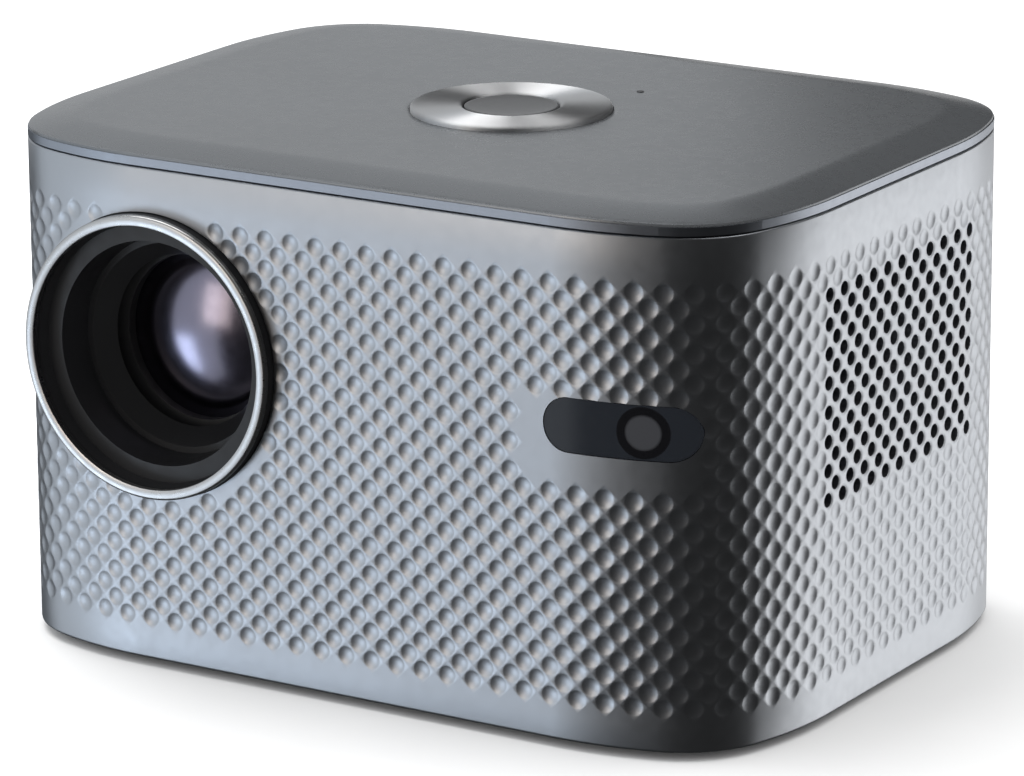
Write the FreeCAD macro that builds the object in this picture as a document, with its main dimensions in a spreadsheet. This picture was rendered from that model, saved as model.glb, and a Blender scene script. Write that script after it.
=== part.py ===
import FreeCAD, Part
import math
import os
import re
import Sketcher

# A compact box projector with a slim disc drive in its rear, standing on four rubber feet.
# Millimetres.  +X is to the right seen from the front, the front faces -Y, +Z is up, and
# the origin is on the ground under the middle of the whole part.

Vector = FreeCAD.Vector
Rotation = FreeCAD.Rotation

doc = FreeCAD.newDocument("projector")
sheet = doc.addObject("Spreadsheet::Sheet", "Sizes")
places = doc.addObject("App::VarSet", "Places")

# ---------------------------------------------------------------- driving sizes
SIZES = {
    # case
    "case_width": (240.0, "sleeve, over its side faces"),
    "case_depth": (177.4, "sleeve, front face to rear face"),
    "case_height": (142.4, "sleeve bottom to the top plate's edge"),
    "case_wall": (2.4, "sleeve wall"),
    "gentle_radius": (99.0, "corner arc next to each flat"),
    "gentle_turn": (17.5, "degrees turned by each gentle arc"),
    "tight_radius": (29.8, "corner arc between two gentle arcs"),
    "fit_gap": (0.3, "clearance between curved or moving neighbours"),
    "run_gap": (0.3, "round sliding and turning pieces"),
    "tool_over": (1.0, "cutting tools past the faces they open"),
    "parting_gap": (0.4, "groove between sleeve and upper shell"),
    "edge_band": (2.3, "visible edge of the upper shell"),
    "plate_edge": (0.8, "upright edge of the top plate"),
    "plate_inset": (0.3, "top plate inside the upper shell's edge"),
    "crown_rise": (2.2, "top panel above the top plate's edge"),
    "crown_width": (13.5, "bevel round the top panel"),
    "skirt_depth": (6.0, "upper shell's skirt inside the sleeve"),
    "skirt_wall": (1.8, "thickness of skirts"),
    "base_recess": (0.8, "base cover above the sleeve's bottom"),
    "base_thick": (2.5, "base cover"),
    "foot_height": (2.5, "foot below the sleeve"),
    "foot_radius": (8.0, "rubber foot"),
    "foot_inset": (30.0, "foot centre from the case sides"),
    "foot_sink": (0.6, "foot let into the base cover"),
    # base hardware
    "insert_radius": (5.0, "tripod insert outside"),
    "insert_bore": (3.05, "tripod thread, quarter inch"),
    "insert_length": (8.0, "tripod insert"),
    "insert_ahead": (9.4, "tripod insert ahead of the drive"),
    "boss_wall": (2.0, "wall round the tripod insert"),
    "screw_head": (2.8, "small screw head radius"),
    "screw_shank": (1.4, "small screw shank radius"),
    "head_thick": (1.4, "small screw head"),
    "head_proud": (0.4, "screw head out of its sink"),
    "screw_length": (6.0, "small screw shank"),
    "screw_clear": (0.3, "hole over screw shank"),
    "leg_radius": (5.0, "mid deck leg"),
    "leg_side_in": (23.0, "mid deck legs from the case sides"),
    "leg_front_in": (38.7, "front legs behind the front face"),
    "leg_rear_in": (44.7, "rear legs ahead of the rear face"),
    "post_radius": (2.8, "screw posts for the boards"),
    # lens
    "lens_side_in": (60.0, "lens axis from the case's left side"),
    "lens_height": (86.8, "lens axis above the sleeve's bottom"),
    "rim_radius": (39.6, "lens rim outside"),
    "rim_width": (2.9, "lens rim, radial"),
    "rim_thick": (1.6, "lens rim, along the axis"),
    "rim_bevel": (0.7, "lens rim's front edges"),
    "hood_reach": (4.0, "lens rim in front of the sleeve"),
    "hood_skin": (2.0, "lens hood wall"),
    "hood_sleeve": (12.0, "straight outside of the hood, from the rim back"),
    "hood_shoulder": (1.2, "hood bore's start behind the rim"),
    "hood_step_one": (36.0, "hood bore at its first step"),
    "hood_step_one_at": (6.0, "first step behind the rim's front"),
    "hood_shelf_one": (31.4, "hood bore behind the first step"),
    "hood_step_two": (30.4, "hood bore at its second step"),
    "hood_step_two_at": (16.5, "second step behind the rim's front"),
    "hood_shelf_two": (28.6, "hood bore behind the second step"),
    "hood_mouth": (24.2, "hood bore at its rear"),
    "hood_depth": (22.0, "hood, rim front to rear end"),
    "barrel_radius": (28.0, "lens barrel outside"),
    "barrel_gap": (0.06, "barrel in its tube, radial"),
    "barrel_wall": (4.6, "lens barrel wall"),
    "barrel_back": (4.4, "barrel behind the hood's rear end"),
    "tube_wall": (2.9, "tube round the barrel"),
    "flange_in": (2.0, "tube flange inside the engine's sides"),
    "flange_thick": (3.0, "tube flange"),
    "glass_rise": (5.5, "front lens dome"),
    "glass_rim": (3.0, "lens edge thickness"),
    "rear_glass_rise": (4.0, "rear lens dome"),
    "focus_travel": (3.0, "barrel travel each way"),
    "screw_out": (42.0, "focus screw from the lens axis"),
    "screw_radius": (1.5, "lead screw radius"),
    "thread_gap": (0.05, "lead screw in its nut, radial"),
    "nut_radius": (3.4, "focus nut"),
    "nut_length": (6.0, "focus nut"),
    "arm_bite": (1.0, "nut arm let into the barrel and the nut"),
    "arm_half": (2.0, "nut arm, half height"),
    "arm_gap": (0.6, "slot round the nut arm"),
    "ear_thick": (2.0, "focus screw ears"),
    "ear_bite": (2.0, "ears let into the tube"),
    "motor_radius": (6.5, "small stepper motor"),
    "motor_length": (11.0, "small stepper motor"),
    # optical engine
    "mirror_back": (5.0, "fold mirror centre from the case middle"),
    "mirror_size": (56.0, "fold mirror"),
    "mirror_turn": (45.0, "degrees from the lamp's axis to the fold mirror"),
    "engine_margin": (0.34, "engine case outside the lens tube"),
    "engine_wall": (2.0, "engine case wall"),
    "engine_left": (34.0, "engine case left of the lens axis"),
    "engine_side_in": (70.0, "engine case's lamp end from the case's right side"),
    "mouth_gap": (0.5, "round the barrel in the engine case"),
    "optic_thick": (2.0, "mirror and panel glass"),
    "panel_out": (41.0, "display panel from the lens axis"),
    "fresnel_step": (7.0, "fresnel lens either side of the panel"),
    "condenser_in": (26.0, "condenser lens from the engine case's lamp end"),
    "condenser_plate": (3.0, "condenser lens edge plate"),
    "condenser_radius": (22.0, "condenser dome"),
    "condenser_rise": (9.0, "condenser dome"),
    "lamp_board": (2.0, "light source board"),
    "lamp_half": (7.0, "light source chip, half width"),
    "lamp_high": (3.0, "light source chip"),
    "sink_base": (5.0, "heat sink base"),
    "sink_gap": (8.7, "heat sink fins to the fan"),
    "fin_count": (12.0, "heat sink fins"),
    "fin_thick": (1.2, "heat sink fin"),
    # fan
    "fan_size": (60.0, "fan frame"),
    "fan_thick": (20.0, "fan frame"),
    "fan_side_gap": (2.9, "fan frame to the sleeve's wall"),
    "fan_bore": (28.5, "fan opening radius"),
    "fan_hub": (14.0, "fan hub radius"),
    "strut_thick": (2.0, "fan struts"),
    "strut_half": (1.5, "fan struts, half width"),
    "strut_bite": (0.5, "struts let into the fan frame"),
    "blade_tip": (27.6, "fan blade tip radius"),
    "blade_count": (7.0, "fan blades"),
    "blade_thick": (1.4, "fan blade"),
    "blade_chord": (13.8, "fan blade"),
    "blade_root": (2.0, "fan blade let into the hub"),
    "blade_pitch": (38.0, "degrees from the fan's axis"),
    "rotor_back": (1.0, "rotor inside the fan frame's face"),
    "axle_radius": (1.5, "fan and disc motor axles"),
    "axle_length": (3.0, "fan axle"),
    # vents
    "hole_pitch": (8.0, "between holes in one row"),
    "hole_half": (1.9, "vent hole, middle to corner"),
    "vent_front": (-36.2, "first vent column from the case middle"),
    "vent_back": (44.0, "limit of the vent columns from the case middle"),
    "vent_low": (60.0, "lowest vent row above the sleeve's bottom"),
    "vent_rows": (15.0, "rows of vent holes"),
    "filter_thick": (2.4, "air filter"),
    "filter_in": (6.0, "air filter inside the vents' front and back limits"),
    # front window
    "window_side_in": (34.8, "sensor window from the case's right side"),
    "window_height": (86.6, "sensor window above the sleeve's bottom"),
    "window_long": (42.0, "sensor window"),
    "window_high": (14.7, "sensor window"),
    "window_thick": (1.6, "sensor window"),
    "window_set": (0.25, "sensor window behind the sleeve's face"),
    "eye_out": (6.8, "range sensor right of the window's middle"),
    "eye_radius": (5.5, "range sensor lens"),
    "eye_back": (9.0, "range sensor lens behind the front face"),
    "eye_length": (5.0, "range sensor lens barrel"),
    "sensor_board": (3.0, "sensor board and its foot"),
    "sensor_short": (4.0, "sensor board short of the window's right end"),
    "sensor_half": (8.0, "sensor board, half height"),
    "sensor_foot": (12.0, "sensor foot, half height"),
    # top controls
    "ring_radius": (28.0, "control ring outside"),
    "ring_bore": (13.5, "control ring inside"),
    "ring_rise": (1.4, "control ring above the panel"),
    "ring_sink": (0.6, "control ring let into the panel"),
    "ring_bevel": (0.5, "control ring's edges"),
    "button_gap": (0.3, "button to ring"),
    "button_travel": (1.0, "power button"),
    "button_thick": (2.8, "power button disc"),
    "button_bevel": (0.4, "power button's edge"),
    "stem_radius": (4.0, "power button stem"),
    "stem_gap": (0.08, "stem in its guide, radial"),
    "stem_up": (0.5, "stem end above its guide's end"),
    "guide_wall": (2.5, "button guide"),
    "guide_depth": (6.0, "button guide below the upper shell"),
    "button_board_low": (133.0, "button board above the ground"),
    "button_board_long": (20.0, "button board, half length"),
    "button_board_wide": (10.0, "button board, half width"),
    "button_post_out": (14.0, "button board posts from the middle"),
    "switch_half": (3.0, "push switch, half width"),
    "board_thick": (1.6, "circuit boards"),
    "pipe_radius": (1.0, "status light"),
    "pipe_proud": (0.2, "status light above the panel"),
    "pipe_x": (20.0, "status light from the middle"),
    "pipe_y": (36.0, "status light from the case middle"),
    # rear panel
    "panel_half": (58.0, "rear opening, half width"),
    "panel_low": (25.6, "rear opening above the sleeve's bottom"),
    "panel_high": (118.0, "rear opening's top above the sleeve's bottom"),
    "panel_round": (4.0, "rear opening's corners"),
    "panel_recess": (1.2, "rear panel below the sleeve's face"),
    "panel_thick": (2.4, "rear panel"),
    "panel_lip": (3.0, "rear panel's flange behind the sleeve"),
    "panel_lip_low": (2.0, "flange below the opening, above the tray slot"),
    "panel_screw_in": (5.0, "rear screws from the opening's sides and top"),
    "panel_screw_up": (18.0, "lower rear screws above the opening's bottom"),
    "slot_count": (9.0, "grille slots for each speaker"),
    "slot_width": (2.4, "grille slot"),
    "slot_tall": (34.4, "grille slot"),
    "slot_step": (4.6, "between grille slots"),
    "speaker_x": (31.0, "speaker from the middle"),
    "speaker_z": (92.0, "speaker above the ground"),
    "speaker_radius": (20.0, "speaker frame"),
    "speaker_depth": (22.0, "speaker"),
    "speaker_rim": (3.0, "speaker frame's flange"),
    "cone_edge": (4.0, "speaker frame round the cone"),
    "cone_drop": (2.0, "cone edge behind the frame's face"),
    "cone_floor": (4.0, "cone's bottom from the magnet's back"),
    "magnet_radius": (12.0, "speaker magnet"),
    "magnet_thick": (6.0, "speaker magnet"),
    # boards
    "board_z": (29.0, "main board above the ground"),
    "board_over": (10.0, "main board beyond the drive's sides"),
    "board_front": (8.0, "main board front edge from the case middle"),
    "board_rear_in": (8.7, "main board's back edge ahead of the rear face"),
    "post_out": (6.0, "main board posts outside the drive"),
    "post_front_in": (5.0, "front board posts from the board's edge"),
    "post_rear_in": (8.0, "rear board posts from the board's edge"),
    "chip_count": (3.0, "large chips on the main board"),
    "chip_first": (-30.0, "first chip from the middle"),
    "chip_step": (32.0, "between chips"),
    "chip_half": (8.0, "chip, half width"),
    "chip_in": (26.0, "chips' middle from the board's front edge"),
    "chip_high": (2.5, "chip"),
    "power_lift": (10.0, "power board above the base"),
    "power_front_in": (9.0, "power board behind the front face"),
    "power_drive_gap": (1.1, "power board ahead of the drive"),
    "power_left": (46.0, "power board left of the middle"),
    "power_right": (58.0, "power board right of the middle"),
    "power_post_in": (5.0, "power board posts and coil from its long edges"),
    "power_post_side": (6.0, "power board posts from its ends"),
    "can_apart": (22.0, "between the two capacitors"),
    "can_in": (16.0, "large capacitor from the power board's left end"),
    "can_radius": (8.0, "large capacitor"),
    "can_high": (22.4, "large capacitor"),
    "small_can_radius": (6.0, "small capacitor"),
    "small_can_high": (18.4, "small capacitor"),
    "coil_left": (14.0, "coil's left side from the middle"),
    "coil_long": (24.0, "coil"),
    "coil_high": (20.4, "coil"),
    # sockets
    "socket_gap": (0.3, "round each socket"),
    "socket_back": (0.4, "sockets behind the rear panel's face"),
    "socket_deep": (10.0, "socket bodies over the board's back edge"),
    "socket_mouth": (6.0, "socket mouths over the board's back edge"),
    "tongue_half": (5.5, "socket tongues, half width"),
    "tongue_root": (1.0, "tongues into the sockets' back walls"),
    "tongue_short": (1.0, "tongues inside the sockets' faces"),
    "video_x": (-42.0, "video socket from the middle"),
    "video_half": (7.6, "video socket, half width"),
    "video_high": (6.0, "video socket"),
    "video_mouth_wide": (14.0, "video socket's mouth"),
    "video_mouth_high": (4.6, "video socket's mouth"),
    "video_tongue_low": (2.6, "video tongue above the board"),
    "video_tongue": (1.0, "video tongue"),
    "data_x": (-14.0, "data sockets from the middle"),
    "data_out": (8.0, "data sockets from their own middle"),
    "data_half": (6.6, "data socket, half width"),
    "data_high": (7.0, "data socket"),
    "data_mouth_wide": (12.2, "data sockets' mouths"),
    "data_mouth_high": (5.2, "data sockets' mouths"),
    "data_tongue_low": (3.7, "data tongue above the board"),
    "data_tongue": (1.7, "data tongue"),
    "audio_x": (14.0, "audio jack from the middle"),
    "jack_radius": (3.2, "audio jack's nose and its axis above the board"),
    "jack_half": (3.5, "audio jack's body, half width"),
    "jack_high": (6.4, "audio jack's body"),
    "jack_deep": (12.0, "audio jack's body over the board's back edge"),
    "jack_bore": (1.75, "audio jack"),
    "jack_bore_deep": (9.0, "audio jack's bore over the board's back edge"),
    "inlet_x": (43.0, "power inlet from the middle"),
    "inlet_half": (10.0, "power inlet, half width"),
    "inlet_high": (11.5, "power inlet"),
    "inlet_deep": (14.0, "power inlet over the board's back edge"),
    "inlet_mouth": (8.0, "power inlet's mouth over the board's back edge"),
    "lobe_radius": (3.9, "power inlet's round ends"),
    "lobe_out": (4.3, "power inlet's pins from its middle"),
    "waist_half": (3.2, "power inlet's waist, half height"),
    "pin_radius": (1.2, "power inlet's pins"),
    "pin_root": (1.0, "pins into the inlet's back wall"),
    "pin_short": (2.0, "pins inside the inlet's face"),
    # deck
    "deck_thick": (2.0, "mid deck"),
    "deck_side_in": (6.0, "mid deck inside the case sides"),
    "deck_front_in": (28.7, "mid deck behind the front face"),
    "deck_rear_in": (32.7, "mid deck ahead of the rear face"),
    # disc drive
    "drive_side": (3.4, "slim drive outside the disc well, each side"),
    "drive_high": (13.6, "slim drive"),
    "drive_sheet": (1.0, "drive sheet metal"),
    "drive_pad": (3.0, "pads under the drive"),
    "pad_half": (5.0, "drive pads, half width"),
    "pad_side_in": (19.2, "drive pads from the drive's sides"),
    "pad_front_in": (12.0, "front drive pads from the chassis front"),
    "pad_rear_in": (16.0, "rear drive pads from the chassis back"),
    "bezel_thick": (5.0, "tray bezel"),
    "slot_gap": (0.6, "round the tray bezel"),
    "disc_radius": (60.0, "standard disc"),
    "well_margin": (0.6, "round the disc"),
    "well_ahead": (0.96, "disc well ahead of the bezel"),
    "well_floor": (7.0, "well floor above the drive's underside"),
    "floor_thick": (1.5, "well floor"),
    "tray_top": (11.9, "tray rim above the drive's underside"),
    "tray_low": (1.5, "tray underside above the drive's underside"),
    "tray_land": (2.84, "tray's front edge ahead of the disc well"),
    "tray_clear": (2.3, "tray to the chassis front wall"),
    "rail_width": (4.2, "telescopic rail"),
    "rail_high": (3.6, "telescopic rail"),
    "rail_length": (112.0, "telescopic rail"),
    "rail_front_in": (2.0, "telescopic rail behind the chassis front wall"),
    "beam_width": (4.0, "tray side beams"),
    "hub_radius": (7.3, "disc hub"),
    "hub_high": (2.2, "disc hub above the turntable"),
    "hub_taper": (0.8, "disc hub's tapered top"),
    "hub_bevel": (1.2, "disc hub's tapered top, radial"),
    "table_radius": (14.5, "turntable"),
    "table_high": (8.0, "turntable top above the drive's underside"),
    "spindle_radius": (12.5, "disc motor"),
    "window_reach": (16.6, "tray hole round the turntable"),
    "way_gap": (1.0, "tray window round the pickup sled"),
    "sled_wide": (22.0, "pickup sled across its travel"),
    "sled_long": (12.0, "pickup sled along its travel"),
    "sled_rise": (0.8, "pickup sled above the well floor's underside"),
    "sled_rest": (24.0, "pickup lens from the hub at rest"),
    "sled_edge": (4.0, "pickup lens inside the disc's edge at its far stop"),
    "sled_turn": (45.0, "degrees from the drive's length to the sled's path"),
    "sled_lens": (3.0, "pickup lens radius"),
    "sled_lens_high": (0.5, "pickup lens above the sled"),
    "sled_skin": (0.45, "sled under its rods"),
    "sled_motor_long": (6.0, "sled motor"),
    "sled_motor_half": (5.0, "sled motor, half width"),
    "rod_radius": (0.9, "sled guide rods"),
    "rod_gap": (0.05, "rods in the sled, radial"),
    "rod_in": (2.6, "guide rods inside the sled's sides"),
    "rod_far": (0.7, "guide rods past the sled's far stop"),
    "rod_near": (1.4, "guide rods' near end from the disc motor"),
    "rod_foot_half": (1.8, "guide rod foot, half width"),
    "rod_foot": (1.2, "guide rod foot, along the rod"),
    "eject_x": (46.0, "eject button from the middle"),
    "eject_long": (9.0, "eject button"),
    "eject_high": (3.0, "eject button"),
    "eject_travel": (0.8, "eject button"),
}

for row, (name, (value, note)) in enumerate(SIZES.items(), start=1):
    sheet.set(f"A{row}", name)
    sheet.set(f"B{row}", str(value))
    sheet.setAlias(f"B{row}", name)
    sheet.set(f"C{row}", note)
doc.recompute()

PLACES = []


def link(text):
    """The expression for a formula written with plain size and place names."""

    def owner(match):
        word = match.group(0)
        if word in SIZES:
            return "Sizes." + word
        if word in PLACES:
            return "Places." + word
        return word

    return re.sub(r"[A-Za-z_]\w*", owner, str(text))


def place(name, text):
    """Add a value worked out from the sizes."""
    places.addProperty("App::PropertyFloat", name, "Places")
    places.setExpression(name, link(text))
    PLACES.append(name)


def val(text):
    """A formula's present value."""
    return float(places.evalExpression(link(text)))


# ---------------------------------------------------------------- derived places
place("mid_y", "hood_reach / 2")
place("front_y", "mid_y - case_depth / 2")
place("rear_y", "mid_y + case_depth / 2")
place("side_x", "case_width / 2")
place("edge_top", "foot_height + case_height")
place("plate_low", "edge_top - plate_edge")
place("shell_low", "plate_low - edge_band")
place("sleeve_top", "shell_low - parting_gap")
place("panel_top", "edge_top + crown_rise")
place("base_low", "foot_height + base_recess")
place("base_top", "base_low + base_thick")
place("leg_x", "side_x - leg_side_in")
place("leg_front", "front_y + leg_front_in")
place("leg_rear", "rear_y - leg_rear_in")
place("lens_x", "lens_side_in - side_x")
place("lens_z", "foot_height + lens_height")
place("rim_y", "front_y - hood_reach")
place("hood_end", "rim_y + hood_depth")
place("tube_bore", "barrel_radius + barrel_gap")
place("glass_radius", "barrel_radius - barrel_wall")
place("glass_ball", "(glass_radius^2 + glass_rise^2) / (2 * glass_rise)")
place("tube_outer", "tube_bore + tube_wall")
place("mirror_y", "mid_y + mirror_back")
place("engine_half", "tube_outer + engine_margin")
place("engine_low", "lens_z - engine_half")
place("engine_top", "lens_z + engine_half")
place("engine_front", "mirror_y - engine_half - engine_wall")
place("engine_back", "mirror_y + engine_half + engine_wall")
place("engine_start", "lens_x - engine_left")
place("engine_end", "side_x - engine_side_in")
place("floor_top", "engine_low + engine_wall")
place("barrel_front", "hood_end + barrel_back")
place("barrel_end", "engine_front + focus_travel + engine_wall")
place("focus_x", "lens_x + screw_out")
place("motor_front", "hood_end - motor_length + 2 * ear_thick")
place("ear_front", "motor_front + motor_length")
place("nut_y", "ear_front + ear_thick + focus_travel + run_gap")
place("screw_end", "nut_y + nut_length + focus_travel + run_gap")
place("panel_x", "lens_x + panel_out")
place("condenser_x", "engine_end - condenser_in")
place("sink_x", "engine_end + lamp_board")
place("fan_x", "side_x - case_wall - fan_side_gap - fan_thick")
place("fan_y", "mirror_y")
place("deck_top", "engine_low")
place("deck_low", "deck_top - deck_thick")
place("fan_z", "deck_top + fan_size / 2")
place("rotor_low", "fan_x + strut_thick + run_gap")
place("rotor_high", "fan_x + fan_thick - rotor_back")
place("window_x", "side_x - window_side_in")
place("window_z", "foot_height + window_height")
place("sensor_y", "front_y + eye_back + eye_length")
place("panel_face", "rear_y - panel_recess")
place("panel_inner", "rear_y - case_wall - fit_gap")
place("panel_back", "panel_inner - panel_thick")
place("opening_low", "foot_height + panel_low")
place("opening_high", "foot_height + panel_high")
place("drive_low", "base_top + drive_pad")
place("drive_top", "drive_low + drive_high")
place("bezel_y", "rear_y - bezel_thick")
place("chassis_back", "bezel_y - fit_gap")
place("well_radius", "disc_radius + well_margin")
place("drive_half", "well_radius + drive_side")
place("hub_y", "bezel_y - well_ahead - well_radius")
place("tray_front", "hub_y - well_radius - tray_land")
place("chassis_front", "tray_front - tray_clear - drive_sheet")
place("insert_y", "chassis_front - insert_ahead")
place("insert_top", "base_low + insert_length")
place("board_top", "board_z + board_thick")
place("board_half", "drive_half + board_over")
place("board_start", "mid_y + board_front")
place("board_end", "rear_y - board_rear_in")
place("post_x", "drive_half + post_out")
place("power_low", "base_top + power_lift")
place("power_top", "power_low + board_thick")
place("power_front", "front_y + power_front_in")
place("power_back", "chassis_front - power_drive_gap")
place("socket_face", "panel_face - socket_back")
place("jack_z", "board_top + jack_radius")
place("inlet_z", "board_top + inlet_high / 2")
place("rail_out", "drive_half - drive_sheet - run_gap")
place("rail_in", "rail_out - rail_width")
place("rail_start", "chassis_front + drive_sheet + rail_front_in")
place("beam_out", "rail_in - run_gap")
place("beam_in", "beam_out - beam_width")
place("rail_low", "drive_low + drive_sheet + run_gap")
place("rail_top", "rail_low + rail_high")
place("flange_low", "rail_top + run_gap")
place("tray_rim", "drive_low + tray_top")
place("well_z", "drive_low + well_floor")
place("well_under", "well_z - floor_thick")
place("loader_low", "drive_low + tray_low")
place("loader_top", "loader_low + drive_sheet")
place("table_low", "well_under + run_gap")
place("rod_x", "sled_wide / 2 - rod_in")
place("rod_z", "loader_top + run_gap + sled_skin + rod_gap + rod_radius")
place("rod_top", "well_under - run_gap")
place("sled_y", "hub_y - sled_rest")
place("sled_top", "well_under + sled_rise")
place("sled_stop", "hub_y - disc_radius + sled_edge - sled_long / 2")
place("rod_start", "sled_stop - rod_far")
place("rod_end", "hub_y - spindle_radius - rod_near")
place("eject_z", "drive_low + drive_high / 2")
place("button_top", "panel_top + ring_rise - button_gap")
place("button_low", "button_top - button_thick")
place("button_board_top", "button_board_low + board_thick")
place("guide_low", "shell_low - guide_depth")
place("stem_low", "guide_low + stem_up")
place("slot_low", "drive_low - slot_gap / 2")
place("slot_high", "drive_top + slot_gap / 2")
doc.recompute()

AXIS_TURN = {
    "x": Rotation(Vector(0, 1, 0), 90),
    "y": Rotation(Vector(1, 0, 0), -90),
    "z": Rotation(),
}
ACROSS = {"x": ("y", "z"), "y": ("x", "z"), "z": ("x", "y")}
pieces = []


# ---------------------------------------------------------------- building helpers
def piece(label, item):
    """Name a finished sub-part."""
    item.Label = label
    pieces.append(item)
    return item


def block(name, across, along, up):
    """A box between a low and a high limit on X, Y and Z."""
    item = doc.addObject("Part::Box", name)
    for side, axis, (low, high) in (("Length", "x", across), ("Width", "y", along), ("Height", "z", up)):
        item.setExpression(side, link(f"({high}) - ({low})"))
        item.setExpression(f"Placement.Base.{axis}", link(low))
    return item


def put(item, axis, centre, low):
    """Point an item's own Z along an axis, and bind its place."""
    item.Placement.Rotation = AXIS_TURN[axis]
    item.setExpression(f"Placement.Base.{axis}", link(low))
    for other, text in zip(ACROSS[axis], centre):
        item.setExpression(f"Placement.Base.{other}", link(text))
    return item


def rod(name, axis, centre, radius, low, high):
    """A cylinder along one axis; centre is its place on the other two axes."""
    item = doc.addObject("Part::Cylinder", name)
    item.setExpression("Radius", link(radius))
    item.setExpression("Height", link(f"({high}) - ({low})"))
    return put(item, axis, centre, low)


def group(name, items):
    """Separate solids kept together."""
    item = doc.addObject("Part::Compound", name)
    item.Links = items
    return item


def fuse(name, items):
    item = doc.addObject("Part::MultiFuse", name)
    item.Shapes = items
    item.Refine = True
    return item


def cut(name, base, tools):
    item = doc.addObject("Part::Cut", name)
    item.Base = base
    item.Tool = tools[0] if len(tools) == 1 else group(name + "_tools", tools)
    return item


def swing(item):
    """Turn an item about the disc hub, from the drive's length to the sled's path."""
    item.Placement.Rotation = Rotation(Vector(0, 0, 1), val("sled_turn"))
    item.setExpression("Placement.Base.x", link("hub_y * sin(sled_turn)"))
    item.setExpression("Placement.Base.y", link("hub_y * (1 - cos(sled_turn))"))
    return item


def common(name, base, tool):
    item = doc.addObject("Part::Common", name)
    item.Base = base
    item.Tool = tool
    return item


def new_sketch(body, name, role):
    sketch = body.newObject("Sketcher::SketchObject", name)
    plane = [item for item in body.Origin.OriginFeatures if item.Role == role][0]
    sketch.AttachmentSupport = [(plane, "")]
    sketch.MapMode = "FlatFace"
    return sketch


def hold(sketch, constraint, text=None):
    """Add a constraint, bound to a formula where one is given."""
    index = sketch.addConstraint(constraint)
    if text is not None:
        sketch.setExpression(f"Constraints[{index}]", link(text))


def polygon(sketch, points):
    """A closed polygon whose corners are bound to formulas."""
    corners = [Vector(val(u), val(v), 0) for u, v in points]
    count = len(corners)
    edges = [Part.LineSegment(corners[i], corners[(i + 1) % count]) for i in range(count)]
    sketch.addGeometry(edges, False)
    for i in range(count):
        hold(sketch, Sketcher.Constraint("Coincident", i, 2, (i + 1) % count, 1))
    for i, (u, v) in enumerate(points):
        for kind, text, value, line in (("DistanceX", u, corners[i].x, -2),
                                        ("DistanceY", v, corners[i].y, -1)):
            if str(text) == "0":
                hold(sketch, Sketcher.Constraint("PointOnObject", i, 1, line))
            else:
                hold(sketch, Sketcher.Constraint(kind, -1, 1, i, 1, value), text)


def turned(name, axis, centre, low, profile):
    """A turned part: (radius, distance along the axis) corners, revolved about the axis."""
    body = doc.addObject("PartDesign::Body", name)
    sketch = new_sketch(body, name + "_profile", "XZ_Plane")
    polygon(sketch, profile)
    turn = body.newObject("PartDesign::Revolution", name + "_turn")
    turn.Profile = sketch
    turn.ReferenceAxis = (sketch, ["V_Axis"])
    turn.Angle = 360
    return put(body, axis, centre, low)


def outline(sketch, inset):
    """The case outline, set in: four flats, each corner a gentle, a tight and a gentle arc."""
    half_width = val(f"side_x - ({inset})")
    half_depth = val(f"case_depth / 2 - ({inset})")
    gentle = val(f"gentle_radius - ({inset})")
    tight = val(f"tight_radius - ({inset})")
    turn = math.radians(val("gentle_turn"))
    tight_turn = math.pi / 2 - 2 * turn
    setback = gentle * (math.sin(turn) + 1 - math.cos(turn)) + tight * (math.cos(turn) - math.sin(turn))
    lengths = (2 * (half_width - setback), 2 * (half_depth - setback)) * 2
    start = Vector(setback - half_width, -half_depth, 0)
    heading = 0.0
    edges = []
    for length in lengths:
        end = start + Vector(math.cos(heading), math.sin(heading), 0) * length
        edges.append(Part.LineSegment(start, end))
        start = end
        for radius, angle in ((gentle, turn), (tight, tight_turn), (gentle, turn)):
            centre = start + Vector(-math.sin(heading), math.cos(heading), 0) * radius
            circle = Part.Circle(centre, Vector(0, 0, 1), radius)
            edges.append(Part.ArcOfCircle(circle, heading - math.pi / 2, heading - math.pi / 2 + angle))
            heading += angle
            start = centre + Vector(math.sin(heading), -math.cos(heading), 0) * radius
    sketch.addGeometry(edges, False)
    count = len(edges)
    for i in range(count):
        hold(sketch, Sketcher.Constraint("Tangent", i, 2, (i + 1) % count, 1))
    half_sizes = (("DistanceY", "case_depth / 2", -half_depth, "-"), ("DistanceX", "side_x", half_width, ""),
                  ("DistanceY", "case_depth / 2", half_depth, ""), ("DistanceX", "side_x", -half_width, "-"))
    for side, (kind, half, value, sign) in enumerate(half_sizes):
        flat = 4 * side
        hold(sketch, Sketcher.Constraint("Horizontal" if kind == "DistanceY" else "Vertical", flat))
        hold(sketch, Sketcher.Constraint(kind, -1, 1, flat, 1, value), f"{sign}({half} - ({inset}))")
        for arc, size, radius in ((1, "gentle_radius", gentle), (2, "tight_radius", tight),
                                  (3, "gentle_radius", gentle)):
            hold(sketch, Sketcher.Constraint("Radius", flat + arc, radius), f"{size} - ({inset})")
        for arc in (1, 3):
            hold(sketch, Sketcher.Constraint("Angle", flat + arc, turn), "gentle_turn * 1 deg")


def slab(name, inset, low, high):
    """A plate of the case outline between two heights."""
    body = doc.addObject("PartDesign::Body", name)
    sketch = new_sketch(body, name + "_outline", "XY_Plane")
    outline(sketch, inset)
    pad = body.newObject("PartDesign::Pad", name + "_pad")
    pad.Profile = sketch
    pad.setExpression("Length", link(f"({high}) - ({low})"))
    return put(body, "z", ("0", "mid_y"), low)


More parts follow.
